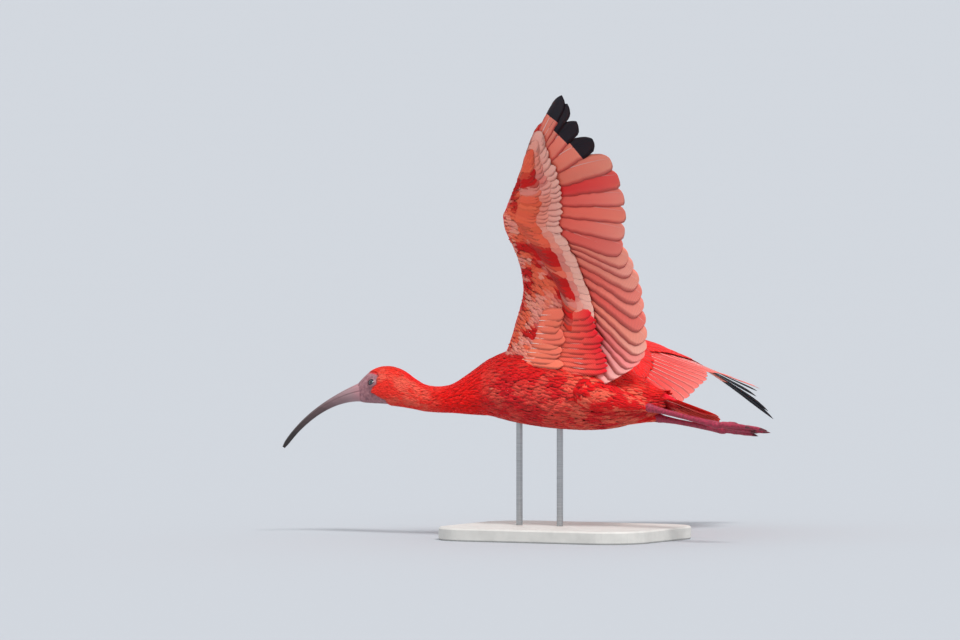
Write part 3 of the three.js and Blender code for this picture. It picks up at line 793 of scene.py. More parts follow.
def build_flight_feathers(side, name, material, colours):
    rng = np.random.default_rng(11)
    rows = primary_feathers()
    rows = rows[::-1] + secondary_feathers(13)
    root = np.array([r[0] for r in rows])
    tip = np.array([r[1] for r in rows])
    lead = np.array([r[2] for r in rows], float)
    trail = np.array([r[3] for r in rows], float)
    bow = np.array([r[4] for r in rows])
    length = np.linalg.norm(tip - root, axis=1)
    heading = (tip - root) / length[:, None]
    n = len(rows)
    inward = smooth(np.arange(n), 9, n - 1)
    order = np.arange(n)[:, None]
    redder = np.exp(-(((order - np.array(RED_FEATHERS)) / 0.7) ** 2)).max(1) * rng.uniform(0.75, 1.0, n)
    # Partly the feathers' own colour, partly painted light: the under sides' coral colours are made near
    # their brightest to stand in for light shining through the feathers, as the under side lies in shade
    under = blend_colours(colours["coral"], colours["coral_red"], redder)
    under = blend_colours(under, colours["mauve"], smooth(inward, 0.62, 1.0) * 0.8)
    under = varied(under, n, rng, 0.05, 0.03)
    upper = varied(blend_colours(colours["back"], colours["coral_red"], 0.35), n, rng, 0.06, 0.03)
    paler = 0.15 + 0.45 * (1 - redder) * rng.uniform(0.3, 1.0, n)
    pale_tip = blend_colours(under, colours["pale_tip"], paler)
    dark_from = np.full(n, NEVER_DARK)
    dark_from[:4] = BLACK_TIPS
    stations = np.concatenate((np.linspace(0, 0.9, 22), (0.93, 0.955, 0.975, 0.988, 0.996, 1)))
    columns = (-1, -0.72, -0.44, -0.16, 0, 0.2, 0.55, 1)
    pointed = 1 - smooth(np.arange(n), 2, 5)
    outline = mix(FLIGHT_WIDTH, POINTED_WIDTH, pointed[:, None])
    shape = dict(stations=stations, shape_at=FLIGHT_AT, shape=outline)
    shape.update(bow=bow, tilt=0.04, dark_from=dark_from)
    slots = np.stack(((np.arange(n) + 0.5) / n, np.full(n, 0.5)), -1)
    coat = Plumage()
    coat.add(
        wing_surface(side, False), root, heading, length, lead, trail, upper,
        tip_colour=blend_colours(upper, colours["pale_tip"], 0.25), under_colour=under, under_tip=pale_tip,
        columns=columns, thick=0.38, ragged=0.06, seed=5, camber=0.01, fade=2.2, bake=slots,
        patch=(0.9 / n, 0.96), **shape
    )
    coat.add_shafts(
        wing_surface(side, False), root, heading, length * 0.985, 1.05, colours["shaft"], 0.25,
        tip_colour=blend_colours(under, colours["shaft"], 0.4), thick=1.4, bake=slots,
        patch=(0.02 / n, 0.9), **shape
    )
    return coat.object(name, material)


def covert_tier(coat, side, below, row, share, start, count, size, colours_of, rng, lift=0.9, stack=0.0):
    """One tier of coverts over the flight feathers, from the innermost to the outermost.

    row: roots and tips to follow; share, start: where the tier's feathers end and begin along them
    """
    roots, tips = row
    at = np.linspace(0, len(roots) - 1, count) + rng.normal(0, 0.06, count)
    at = np.clip(at, 0, len(roots) - 1.001)
    i, f = at.astype(int), (at - at.astype(int))[:, None]
    root_line = roots[i] * (1 - f) + roots[i + 1] * f
    tip_line = tips[i] * (1 - f) + tips[i + 1] * f
    place = root_line + (tip_line - root_line) * start
    end = root_line + (tip_line - root_line) * (share + rng.normal(0, 0.012, count))[:, None]
    length = np.linalg.norm(end - place, axis=1)
    heading = (end - place) / length[:, None]
    colour, tip = colours_of(place, at / (len(roots) - 1))
    coat.add(
        wing_surface(side, below), place, heading, length, size * 0.85, size, colour, tip_colour=tip,
        stations=(0, 0.2, 0.42, 0.64, 0.8, 0.91, 0.97, 1), shape_at=COVERT_AT, shape=COVERT_WIDTH,
        columns=BROAD_COLUMNS, rise=over_flesh(below, 0.6), stack=stack, lift=lift,
        tilt=-0.06 if below else 0.06, thick=0.5, camber=0.05, ragged=0.1,
        seed=int(count * 7 + share * 100), bow=0.02, fade=1.6,
        bake=bake_place(place[:, 0], place[:, 1], int(below)),
    )


def small_coverts(coat, side, below, colours_of, rng, gap=6.0):
    """Small feathers over the wing's flesh, from the leading edge back, in staggered rows."""
    places = []
    span = -40.0
    while span < 286:
        arm, hand = arm_at(span), hand_at(span)
        front, rear = (arm[0], arm[1]) if span < 176 else (hand[0], hand[1])
        step = gap * (1 - 0.35 * smooth(span, 120, 280))
        chords = np.arange(front + 3.2, rear + (9 if span < 200 else 4), step * 0.62)
        jitter = rng.normal(0, 0.2 * step, (len(chords), 2))
        places.append(np.stack((np.full(len(chords), span), chords), -1) + jitter)
        span += step * 0.72
    root = np.concatenate(places)
    heading = lie(root[:, 0], root[:, 1])
    heading = heading + rng.normal(0, 0.05, heading.shape)
    arm, hand = arm_at(root[:, 0]), hand_at(root[:, 0])
    front = np.where(root[:, 0] < 176, arm[0], hand[0])
    rear = np.where(root[:, 0] < 176, arm[1], hand[1])
    back = np.clip((root[:, 1] - front) / np.maximum(rear - front, 8), 0, 1)
    size = gap * (0.5 + 0.9 * back) * np.exp(rng.normal(0, 0.12, len(root)))
    size = size * (1 - 0.3 * smooth(root[:, 0], 170, 280))
    colour, tip = colours_of(root, back)
    coat.add(
        wing_surface(side, below), root, heading, size * 2.9, size * 0.66, size * 0.66, colour,
        tip_colour=tip, stations=(0, 0.35, 0.7, 0.9, 1), shape=(0.4, 0.95, 1, 0.74, 0.22),
        rise=over_flesh(below, 0.4), sink=1.0, lift=(0.25 + 0.6 * back), thick=0.2, camber=0.06,
        ragged=0.25, seed=3 + int(below), bake=bake_place(root[:, 0], root[:, 1], int(below)),
    )


def build_coverts(side, name, below, material, colours):
    rng = np.random.default_rng(21 + int(below))
    coat = Plumage()
    row = (FLIGHT_ROOTS, FLIGHT_TIPS)

    def noisy(place, size, seed):
        return table_noise(place[:, 0] + 100, place[:, 1] + 100, size, seed)

    def mottled(place, count):
        dark = smooth(noisy(place, 15, 32), 0.42, 0.62)
        base = blend_colours(colours["under_orange"], colours["under_dark"], dark)
        fleck = smooth(noisy(place, 9, 33), 0.55, 0.8) * 0.65
        return varied(blend_colours(base, colours["buff"], fleck), count, rng, 0.08, 0.03)

    def lesser_colours(place, back):
        if below:
            base = mottled(place, len(place))
        else:
            base = blend_colours(colours["back"], colours["crown"], noisy(place, 9, 31) * 0.6)
            base = varied(base, len(place), rng, 0.07, 0.03)
        return base * 0.92, np.clip(base * 1.06, 0, 1)

    def greater_colours(place, share):
        if not below:
            base = varied(colours["back"], len(place), rng, 0.08, 0.03)
            return base * 0.9, np.clip(base * 1.1, 0, 1)
        base = blend_colours(colours["buff"], colours["coral"], noisy(place, 24, 35) * 0.6)
        base = varied(base, len(place), rng, 0.05, 0.02)
        return base, blend_colours(base, colours["pale_tip"], 0.6)

    def median_colours(place, share):
        if not below:
            return greater_colours(place, share)
        base = blend_colours(mottled(place, len(place)), colours["buff"], 0.35)
        return base * 0.95, blend_colours(base, colours["pale_tip"], 0.25)

    def inner_colours(place, share):
        if not below:
            return greater_colours(place, share)
        base = mottled(place, len(place))
        return base, np.clip(base * 1.05, 0, 1)

    far = 0.44 if below else 0.52
    covert_tier(coat, side, below, row, far, 0.1, 38, 10, greater_colours, rng, lift=1.0, stack=0.5)
    covert_tier(coat, side, below, row, far * 0.76, 0.08, 46, 8.4, median_colours, rng, lift=1.1, stack=1.1)
    covert_tier(coat, side, below, row, far * 0.56, 0.05, 50, 7.6, inner_colours, rng, lift=1.1, stack=1.7)
    small_coverts(coat, side, below, lesser_colours, rng)
    return coat.object(name, material)


# Rows of axillaries: how many, share of the full length, rise, seed, colour of the ends
AXILLARY_ROWS = ((11, 1.0, 3.6, 45, "tail"), (10, 0.46, 6.4, 46, "coral"))


def build_axillaries(side, name, material, colours):
    """Long feathers of the armpit, with white shafts and deep red rounded ends."""
    rng = np.random.default_rng(41)
    coat = Plumage()
    for count, reach, stack, seed, end_colour in AXILLARY_ROWS:
        share = np.linspace(0, 1, count)
        root = np.stack((-8 + 62 * share, -6 + 22 * share), -1) + rng.normal(0, 1, (count, 2))
        end = np.stack((-22 + 80 * share, 116 - 26 * share), -1)
        end = root + (end - root) * (reach + rng.normal(0, 0.03, count))[:, None]
        length = np.linalg.norm(end - root, axis=1)
        patches = table_noise(root[:, 0] + 60, root[:, 1] + 60, 11, 43)
        base = blend_colours(colours["salmon"], colours["coral"], patches)
        base = varied(base, count, rng, 0.06, 0.03)
        options = dict(
            stations=(0, 0.15, 0.35, 0.55, 0.74, 0.86, 0.94, 0.98, 1),
            rise=over_flesh(True, 1.0), stack=stack - 2.5, lift=1.6, tilt=-0.07,
            bake=bake_place(root[:, 0], root[:, 1], 1),
        )
        coat.add(
            wing_surface(side, True), root, end - root, length, 9.5, 10, base,
            tip_colour=varied(colours[end_colour], count, rng, 0.05, 0.02) * 0.92,
            shape_at=(0, 0.3, 0.65, 0.85, 0.94, 1), shape=(0.4, 0.85, 1, 0.9, 0.62, 0.12),
            columns=BROAD_COLUMNS, thick=0.5, camber=0.06, ragged=0.1, seed=seed, fade=1.5, **options
        )
        coat.add_shafts(
            wing_surface(side, True), root, end - root, length * 0.93, 0.55, colours["shaft"], 0.3,
            thick=2.0, **options
        )
    return coat.object(name, material)


def build_alula(side, name, material, colours):
    root = np.array([(184 + 3 * i, -26 + 3 * i) for i in range(4)], float)
    tip = np.array([(218 + 8 * i, 6 + 4.4 * i) for i in range(4)], float)
    base = varied(colours["back"], 4, np.random.default_rng(5), 0.08, 0.03)
    coat = Plumage()
    coat.add(
        wing_surface(side, False), root, tip - root, np.linalg.norm(tip - root, axis=1), 3.2, 5.2, base,
        stations=np.linspace(0, 1, 10), shape_at=(0, 0.3, 0.7, 0.9, 1), shape=(0.5, 1, 0.9, 0.6, 0.1),
        columns=BROAD_COLUMNS, stack=np.array((6.2, 5.0, 3.8, 2.6)), tilt=0.08, thick=0.6,
        bake=bake_place(root[:, 0], root[:, 1], 0),
    )
    return coat.object(name, material)


def tail_surface(side):
    return lambda across, back, rise: tail_point(back, side * across, rise)


def build_tail(name, material, colours):
    rng = np.random.default_rng(51)
    coat = Plumage()
    for side in (1, -1):
        share = (np.arange(TAIL_HALF) + 0.5) / TAIL_HALF
        root = np.stack((2 + 7 * share, np.full(TAIL_HALF, -8.0)), -1)
        tip = np.stack((2 + TAIL_SPREAD * share, TAIL_LENGTH - 9 * share), -1)
        length = np.linalg.norm(tip - root, axis=1)
        base = varied(colours["tail"], TAIL_HALF, rng, 0.07, 0.03)
        stations = np.concatenate((np.linspace(0, 0.88, 14), (0.92, 0.955, 0.98, 1)))
        column = share / 2 + (0 if side > 0 else 0.5)
        bake = np.stack((column, np.full(TAIL_HALF, 0.5)), -1)
        options = dict(stations=stations, stack=-1.25 * np.arange(TAIL_HALF), bake=bake)
        coat.add(
            tail_surface(side), root, tip - root, length, 5.6, 6.4, base * 0.85, tip_colour=base * 1.1,
            # Partly the feathers' own paler colour, partly a painted highlight: the under side is a coral red
            # brighter than the tail's red, lifting it out of the shade that it lies in
            under_colour=blend_colours(colours["coral_red"], colours["coral"], 0.45) + 0 * base,
            under_tip=blend_colours(colours["coral_red"], colours["coral"], 0.7) + 0 * base,
            shape_at=FLIGHT_AT, shape=FLIGHT_WIDTH, columns=(-1, -0.6, -0.25, 0, 0.25, 0.6, 1), thick=0.7,
            ragged=0.06, seed=52, patch=(0.07, 0.96), **options
        )
        coat.add_shafts(
            tail_surface(side), root, tip - root, length * 0.97, 0.6, colours["shaft"], 0.3,
            tip_colour=base, thick=1.9, patch=(0.004, 0.9), **options
        )
    return coat.object(name, material)


def tail_core_surface(back, angle, rise):
    width, thick = tail_core(back)
    return tail_point(back, (width + rise) * np.sin(angle), (thick + rise) * np.cos(angle) - TAIL_CORE_DROP)


def build_tail_coverts(name, material, colours):
    rng = np.random.default_rng(61)
    roots = coat_rows(-26, 34, lambda x: 6.2, lambda x: float(np.pi * sum(tail_core(x))), rng)
    back, angle = roots[:, 0], roots[:, 1]
    around = np.abs(angle)
    base = blend_colours(colours["tail"], colours["belly"], smooth(around, 1.2, 2.4))
    pale = smooth(table_noise(back + 60, angle * 14 + 90, 6, 63), 0.5, 0.8) * smooth(around, 1.6, 2.6)
    base = varied(blend_colours(base, colours["buff"], pale * 0.4), len(back), rng, 0.06, 0.03)
    size = 6.2 * np.exp(rng.normal(0, 0.12, len(back)))
    coat = Plumage()
    coat.add(
        tail_core_surface, roots, lying_back(len(back), 0.1, rng), size * 4.2, size * 0.6, size * 0.6,
        base * 0.95, tip_colour=np.clip(base * 1.04, 0, 1),
        metric=np.stack((np.ones(len(back)), 1 / (sum(tail_core(back)) / 2)), -1),
        stations=(0, 0.3, 0.6, 0.85, 1), shape=(0.4, 0.95, 1, 0.6, 0.1), rise=-0.5, sink=1.2, lift=1.2,
        thick=0.25, camber=0.06, ragged=0.4, seed=64, bake=round_bake((back + 30) / 90, angle),
    )
    return coat.object(name, material)


def build_thigh_coat(side, name, material, colours):
    rng = np.random.default_rng(71)
    length = float(np.linalg.norm(LEG_JOINTS[side][1] - LEG_JOINTS[side][0]))

    def gap(x):
        return 6.0 - 3.2 * x / length

    def circumference(x):
        return 2 * np.pi * np.interp(x / length, THIGH_SHARES, THIGH_RADII)

    roots = coat_rows(6, length * 0.93, gap, circumference, rng)
    along, angle = roots[:, 0], roots[:, 1]
    radius = np.interp(along / length, THIGH_SHARES, THIGH_RADII)
    base = varied(blend_colours(colours["belly"], colours["neck"], 0.4), len(along), rng, 0.07, 0.03)
    pale = smooth(table_noise(along + 20, angle * 18 + 90, 8, 72), 0.45, 0.75)
    base = blend_colours(base, colours["salmon"], pale * 0.6)
    size = 6.4 - 3.2 * along / length
    coat = Plumage()
    coat.add(
        lambda a, b, rise: thigh_point(side, a / length, b, rise), roots, lying_back(len(along), 0.14, rng),
        size * 2.9, size * 0.62, size * 0.62, base * 0.95, tip_colour=np.clip(base * 1.04, 0, 1),
        metric=np.stack((np.ones(len(along)), 1 / radius), -1), rise=-0.9, sink=1.2, lift=0.8, seed=73,
        bake=round_bake(along / length, angle), **SMALL_FEATHER
    )
    return coat.object(name, material)


# Bill, eyes and legs


def build_bill_half(name, upper, material, solid):
    """One half of the bill, with the nostril's groove above and the line of the mouth between the halves."""
    shares = np.concatenate(([-0.05], np.linspace(0, 0.9, 60), np.linspace(0.91, 1, 14)))
    count = 24
    rings = []
    for share in shares:
        width, height = bill_at(max(share, 0))
        drop = -MOUTH_DROP * height
        gape = 0.16 + 0.12 * (1 - smooth(share, 0, 0.2))
        low = np.arccos(np.clip((drop + gape) / height, -1, 1))
        high = np.arccos(np.clip((drop - gape) / height, -1, 1))
        if upper:
            angles = np.linspace(-low, low, count)
        else:
            angles = np.linspace(high, 2 * math.pi - high, count)
        across = width * np.sin(angles)
        up = height * np.cos(angles)
        groove = 0.9 * width * 0.12 * smooth(share, 0.0, 0.03) * (1 - smooth(share, 0.72, 0.9))
        side = np.exp(-(((np.abs(angles) - 0.95) / 0.13) ** 2)) if upper else 0
        nostril = np.exp(-(((share - 0.112) / 0.03) ** 2)) * 1.1
        pull = 1 - side * (groove + nostril * 0.55) / max(width, 1)
        across = across * pull
        up = drop + (up - drop) * (1 - (1 - pull) * 0.4)
        floor_across = np.linspace(across[-1], across[0], 6)[1:-1]
        floor_up = np.full(4, (drop + gape) if upper else (drop - gape)) + (0.12 if upper else -0.12)
        ring = bill_point(share, np.concatenate((across, floor_across)), np.concatenate((up, floor_up)))
        rings.append(ring)
    rings = np.array(rings)
    made = new_object(name, placed(rings.reshape(-1, 3)), ring_faces(len(rings), rings.shape[1]), material)
    write_values(made.data, "Along", np.repeat(np.clip(shares, 0, 1), rings.shape[1]))
    fix_normals(made)
    belongs(made, "bill", solid)


def eye_frame(side):
    """The eye's middle, and the ways that it looks, to its front and up."""
    middle = levelled(np.array((EYE_X, -side * EYE_ACROSS, EYE_Z)), 1)
    look = np.array((-0.22, -side, 0.06))
    look = levelled(look / np.linalg.norm(look), 1)
    front = levelled(np.array((-1.0, 0.0, -0.12)), 1)
    front = front - look * np.dot(front, look)
    front /= np.linalg.norm(front)
    up = np.cross(look, front) * (1 if side > 0 else -1)
    if up[2] < 0:
        up = -up
    return middle, look, front, up


def build_eye(side, name, material, solid):
    middle, look, front, up = eye_frame(side)
    polar = np.linspace(0.02, math.pi - 0.02, 28)
    angles = round_angles(EYE_AROUND)
    rings = []
    for p in polar:
        bulge = 0.35 * math.exp(-((p / 0.55) ** 2))
        radius = EYE_RADIUS + bulge
        spread = np.cos(angles)[:, None] * front + np.sin(angles)[:, None] * up
        rings.append(middle + radius * (math.cos(p) * look + math.sin(p) * spread))
    rings = np.array(rings)
    made = new_object(name, placed(rings.reshape(-1, 3)), ring_faces(len(rings), EYE_AROUND), material)
    write_values(made.data, "Along", np.repeat(polar, EYE_AROUND))
    fix_normals(made)
    belongs(made, "eye_glass", solid)


def build_lids(side, name, material):
    """An upper and a lower lid with a beaded rim, and the swollen ring round them."""
    middle, look, front, up = eye_frame(side)
    angles = round_angles(LID_AROUND)
    opening = 4.15 + 0.25 * np.cos(2 * angles)
    rings = []
    for out, height, bead in LID_PROFILE:
        beads = 0.1 * bead * np.cos(angles * LID_BEADS)
        radius = opening + out
        spread = np.cos(angles)[:, None] * front * 1.06 + np.sin(angles)[:, None] * up
        rings.append(middle + (height + beads)[:, None] * look * 0.92 + radius[:, None] * spread)
    rings = placed(np.array(rings)).reshape(-1, 3)
    made = new_object(name, rings, ring_faces(len(LID_PROFILE), LID_AROUND, closed=False), material)
    thickness = made.modifiers.new("Thickness", "SOLIDIFY")
    thickness.thickness = LID_THICKNESS * MM
    rounded = made.modifiers.new("Rounded", "SUBSURF")
    rounded.levels = rounded.render_levels = 1
    apply_modifiers(made)
    fix_normals(made)
    belongs(made, "bill")


def scaled_limb(path, radii, around, scales, depth, deep=1.0):
    """A round limb whose skin is raised in rows of overlapping scales along its path."""
    path, radii = np.asarray(path, float), np.asarray(radii, float)
    at = np.concatenate(([0], np.cumsum(np.linalg.norm(np.diff(path, axis=0), axis=1))))
    fine = np.linspace(0, at[-1], scales * 6 + 1)
    dense = np.stack([np.interp(fine, at, path[:, i]) for i in range(3)], -1)
    wide = np.interp(fine, at, radii)
    phase = (fine / at[-1] * scales) % 1
    rings = limb_rings(dense, np.ones(len(dense)), around, deep)
    angles = round_angles(around)
    for i in range(len(dense)):
        upper = 0.5 + 0.5 * np.cos(angles)
        raised = depth * (phase[i] ** 1.5) * smooth(upper, 0.15, 0.6) * (0.4 + 0.6 * min(wide[i] / 3, 1))
        rings[i] = dense[i] + (rings[i] - dense[i]) * (wide[i] + raised)[:, None]
    return rings


def claw_droop(share):
    return np.array((0, 0, -8.0 * max(0, share - 0.8)))


def build_leg(side, name, skin_material, claw_material, nodes):
    """The bare shank, the foot and its toes, with claws of their own."""
    points, faces = [], []
    heel, ankle = LEG_JOINTS[side][1:]
    shares = np.array([-0.03, 0.03, 0.1, 0.3, 0.6, 0.88, 0.97, 1.01])
    path = [mix(heel, ankle, t) for t in shares]
    add_loft(points, faces, scaled_limb(path, (4.8, 5.6, 4.4, 3.3, 3.2, 3.8, 4.3, 4.6), 20, 34, 0.35))
    start = mix(heel, ankle, 0.99)
    along = (ankle - heel) / np.linalg.norm(ankle - heel)
    outward = np.sign(ankle[1])
    claw_points, claw_faces = [], []
    pad = [start + along * d for d in (-3, 0, 4, 8, 12)]
    add_loft(points, faces, limb_rings(pad, (3.8, 4.5, 4.8, 4.1, 2.2), 20))
    toes = [(length, np.array((0, outward * out, drop)), 3.5) for length, out, drop in TOES]
    toes.append((HALLUX[0], np.array((0, outward * HALLUX[1], HALLUX[2])), 3.0))
    for length, lean, thick in toes:
        end = start + along * length + lean
        knots = np.array([0, 0.14, 0.3, 0.38, 0.55, 0.63, 0.8, 0.86])
        wide = np.array([1, 0.9, 0.8, 0.92, 0.74, 0.84, 0.64, 0.56]) * thick
        path = [mix(start, end, t) + claw_droop(t) for t in knots]
        add_loft(points, faces, scaled_limb(path, wide, 16, max(int(length / 2.6), 8), 0.28))
        claw_at = np.linspace(0.83, 1.0, 9)
        claw_wide = np.array([0.46, 0.5, 0.47, 0.42, 0.36, 0.29, 0.21, 0.13, 0.05]) * thick
        path = [mix(start, end, t) + claw_droop(t) for t in claw_at]
        add_loft(claw_points, claw_faces, limb_rings(path, claw_wide, 14, 1.2))
    made = new_object(name, placed(np.concatenate(points)), faces, skin_material)
    fix_normals(made)
    belongs(made, "leg_skin", *nodes)
    claws = new_object(name + "_claws", placed(np.concatenate(claw_points)), claw_faces, claw_material)
    fix_normals(claws)
    belongs(claws, "leg_skin")


# Materials


def new_material(name):
    made = bpy.data.materials.new(name)
    made.use_nodes = True
    tree = made.node_tree
    shader = tree.nodes["Principled BSDF"]
    return made, tree, shader


def node(tree, kind, **values):
    made = tree.nodes.new(kind)
    for key, value in values.items():
        if key in made.inputs:
            made.inputs[key].default_value = value
        else:
            setattr(made, key, value)
    return made


def maths(tree, operation, first, second=None):
    made = tree.nodes.new("ShaderNodeMath")
    made.operation = operation
    for socket, value in zip(made.inputs, (first, second)):
        if value is None:
            continue
        if isinstance(value, (int, float)):
            socket.default_value = value
        else:
            tree.links.new(value, socket)
    return made.outputs[0]


def ramp(tree, source, stops):
    made = tree.nodes.new("ShaderNodeValToRGB")
    made.color_ramp.elements[0].position, made.color_ramp.elements[0].color = stops[0][0], (*stops[0][1], 1)
    made.color_ramp.elements[1].position, made.color_ramp.elements[1].color = stops[-1][0], (*stops[-1][1], 1)
    for place, colour in stops[1:-1]:
        made.color_ramp.elements.new(place).color = (*colour, 1)
    tree.links.new(source, made.inputs[0])
    return made.outputs[0]


def mixed(tree, share, first, second, blend="MIX"):
    made = tree.nodes.new("ShaderNodeMix")
    made.data_type, made.blend_type = "RGBA", blend
    for socket, value in ((made.inputs[0], share), (made.inputs[6], first), (made.inputs[7], second)):
        if isinstance(value, bpy.types.NodeSocket):
            tree.links.new(value, socket)
        elif isinstance(value, (int, float)):
            socket.default_value = value
        else:
            socket.default_value = (*value, 1)
    return made.outputs[2]


def bumped(tree, shader, height, distance, strength=0.6):
    bump = node(tree, "ShaderNodeBump", Strength=strength, Distance=distance)
    tree.links.new(height, bump.inputs["Height"])
    tree.links.new(bump.outputs[0], shader.inputs["Normal"])


def attribute(tree, name):
    return node(tree, "ShaderNodeAttribute", attribute_name=name).outputs["Fac"]


def object_texture(tree, kind, stretch=None, **values):
    """A texture laid by the object's own coordinates, scaled along each of them if asked."""
    place = node(tree, "ShaderNodeTexCoord").outputs["Object"]
    if stretch:
        mapping = node(tree, "ShaderNodeMapping", Scale=stretch)
        tree.links.new(place, mapping.inputs["Vector"])
        place = mapping.outputs[0]
    made = node(tree, kind, **values)
    tree.links.new(place, made.inputs["Vector"])
    return made


def jittered(tree, value, noise, size):
    """A value moved up and down by a noise."""
    centred = maths(tree, "SUBTRACT", noise.outputs[0], 0.5)
    return maths(tree, "ADD", value, maths(tree, "MULTIPLY", centred, size))


def painted(tree, shader, colour, noise, low, high):
    """The shader's colour, and a roughness that goes from low to high with the noise."""
    rough = tree.nodes.new("ShaderNodeMapRange")
    rough.inputs["To Min"].default_value, rough.inputs["To Max"].default_value = low, high
    tree.links.new(noise.outputs[0], rough.inputs["Value"])
    tree.links.new(rough.outputs[0], shader.inputs["Roughness"])
    tree.links.new(colour, shader.inputs["Base Color"])


def plumage_material(name, settings, barb_count, edge_pale, subsurface):
    """Feathers: the painted colour with fine barbs, a line of shaft, soft edges and a sharp dark tip."""
    made, tree, shader = new_material(name)
    colour = node(tree, "ShaderNodeVertexColor", layer_name="Plume").outputs[0]
    vane_map = node(tree, "ShaderNodeUVMap", uv_map="Vane").outputs[0]
    split = node(tree, "ShaderNodeSeparateXYZ")
    tree.links.new(vane_map, split.inputs[0])
    across, along = split.outputs[0], split.outputs[1]
    away = maths(tree, "ABSOLUTE", maths(tree, "SUBTRACT", across, 0.5))
    slant = maths(tree, "SUBTRACT", along, maths(tree, "MULTIPLY", away, 0.16))
    wave = maths(tree, "SINE", maths(tree, "MULTIPLY", slant, barb_count * 2 * math.pi))
    noise = object_texture(tree, "ShaderNodeTexNoise", Scale=900.0, Detail=3.0)
    barbs = maths(tree, "ADD", maths(tree, "MULTIPLY", wave, 0.5), noise.outputs[0])
    tone = ramp(tree, barbs, ((0.0, (0.88, 0.88, 0.88)), (1.0, (1.05, 1.05, 1.05))))
    colour = mixed(tree, 1.0, colour, tone, "MULTIPLY")
    edge = maths(tree, "MULTIPLY", maths(tree, "POWER", maths(tree, "MULTIPLY", away, 2.0), 5.0), edge_pale)
    colour = mixed(tree, edge, colour, tuple(settings.pale_tip))
    dark = attribute(tree, "Dark")
    uneven = maths(tree, "ADD", maths(tree, "MULTIPLY", jittered(tree, dark, noise, 3.0), 0.4), 0.5)
    ink = ramp(tree, uneven, ((0.35, (0, 0, 0)), (0.65, (1, 1, 1))))
    ink_share = node(tree, "ShaderNodeRGBToBW")
    tree.links.new(ink, ink_share.inputs[0])
    colour = mixed(tree, ink_share.outputs[0], colour, tuple(settings.black_tip))
    tree.links.new(colour, shader.inputs["Base Color"])
    rough = maths(tree, "ADD", maths(tree, "MULTIPLY", noise.outputs[0], 0.2), 0.5)
    tree.links.new(rough, shader.inputs["Roughness"])
    shader.inputs["Specular IOR Level"].default_value = 0.12
    shader.inputs["Subsurface Weight"].default_value = subsurface
    shader.inputs["Subsurface Radius"].default_value = (1.0, 0.35, 0.2)
    shader.inputs["Subsurface Scale"].default_value = 0.002
    bumped(tree, shader, barbs, 0.0001, 0.35)
    return made


def skin_material(settings):
    """Skin under the coat, bare and mauve on the face, with fine pimples."""
    made, tree, shader = new_material("Ibis Skin")
    noise = object_texture(tree, "ShaderNodeTexNoise", Scale=260.0, Detail=6.0)
    pimples = object_texture(tree, "ShaderNodeTexVoronoi", Scale=1100.0)
    bare = attribute(tree, "Bare")
    red = ramp(tree, noise.outputs[0], ((0.3, tuple(settings.under_dark)), (0.7, tuple(settings.neck))))
    mauve = ramp(tree, noise.outputs[0], ((0.3, tuple(settings.face_dark)), (0.7, tuple(settings.face))))
    painted(tree, shader, mixed(tree, bare, red, mauve), noise, 0.45, 0.65)
    shader.inputs["Subsurface Weight"].default_value = 0.15
    shader.inputs["Subsurface Radius"].default_value = (1.0, 0.4, 0.25)
    shader.inputs["Subsurface Scale"].default_value = 0.003
    height = maths(tree, "ADD", noise.outputs[0], pimples.outputs["Distance"])
    bumped(tree, shader, height, 0.0005)
    return made


def bill_material(settings):
    made, tree, shader = new_material("Ibis Bill Horn")
    along = attribute(tree, "Along")
    noise = object_texture(tree, "ShaderNodeTexNoise", (0.25, 1.6, 1.6), Scale=180.0, Detail=8.0)
    shades = (settings.face, settings.bill_base, settings.bill_middle, settings.bill_tip)
    stops = tuple((place, tuple(shade)) for place, shade in zip((0.0, 0.12, 0.45, 0.85), shades))
    colour = ramp(tree, jittered(tree, along, noise, 0.25), stops)
    painted(tree, shader, colour, noise, 0.3, 0.5)
    shader.inputs["Coat Weight"].default_value = 0.15
    shader.inputs["Coat Roughness"].default_value = 0.3
    bumped(tree, shader, noise.outputs[0], 0.0004)
    return made


def horn_material(name, dark, light, scale, low, high, distance):
    """Mottled skin or horn between two colours, with bump of its own scale."""
    made, tree, shader = new_material(name)
    noise = object_texture(tree, "ShaderNodeTexNoise", Scale=scale, Detail=6.0)
    cells = object_texture(tree, "ShaderNodeTexVoronoi", Scale=scale * 2.4)
    colour = ramp(tree, noise.outputs[0], ((0.32, tuple(dark)), (0.68, tuple(light))))
    painted(tree, shader, colour, noise, low, high)
    height = maths(tree, "ADD", noise.outputs[0], maths(tree, "MULTIPLY", cells.outputs["Distance"], 0.6))
    bumped(tree, shader, height, distance)
    return made


def eye_material(settings):
    """A dark pupil, a ring round it with fine spokes, painted dark blue-grey as a reflection of the sky over
    the eye's real dark brown, and a clear polished coat.
    """
    made, tree, shader = new_material("Ibis Eye Glass")
    along = attribute(tree, "Along")
    noise = object_texture(tree, "ShaderNodeTexNoise", Scale=1400.0, Detail=4.0)
    pupil, rim = (0.003, 0.003, 0.004), (0.01, 0.008, 0.008)
    # Painted reflection: the ring round the pupil is dark blue-grey for the sky reflected in the eye; the
    # eye's own colour is dark brown
    stops = ((0.0, pupil), (0.44, pupil), (0.47, tuple(settings.iris_and_reflection)), (0.8, rim))
    colour = ramp(tree, jittered(tree, along, noise, 0.06), stops)
    painted(tree, shader, colour, noise, 0.12, 0.2)
    shader.inputs["Coat Weight"].default_value = 1.0
    shader.inputs["Coat Roughness"].default_value = 0.02
    return made


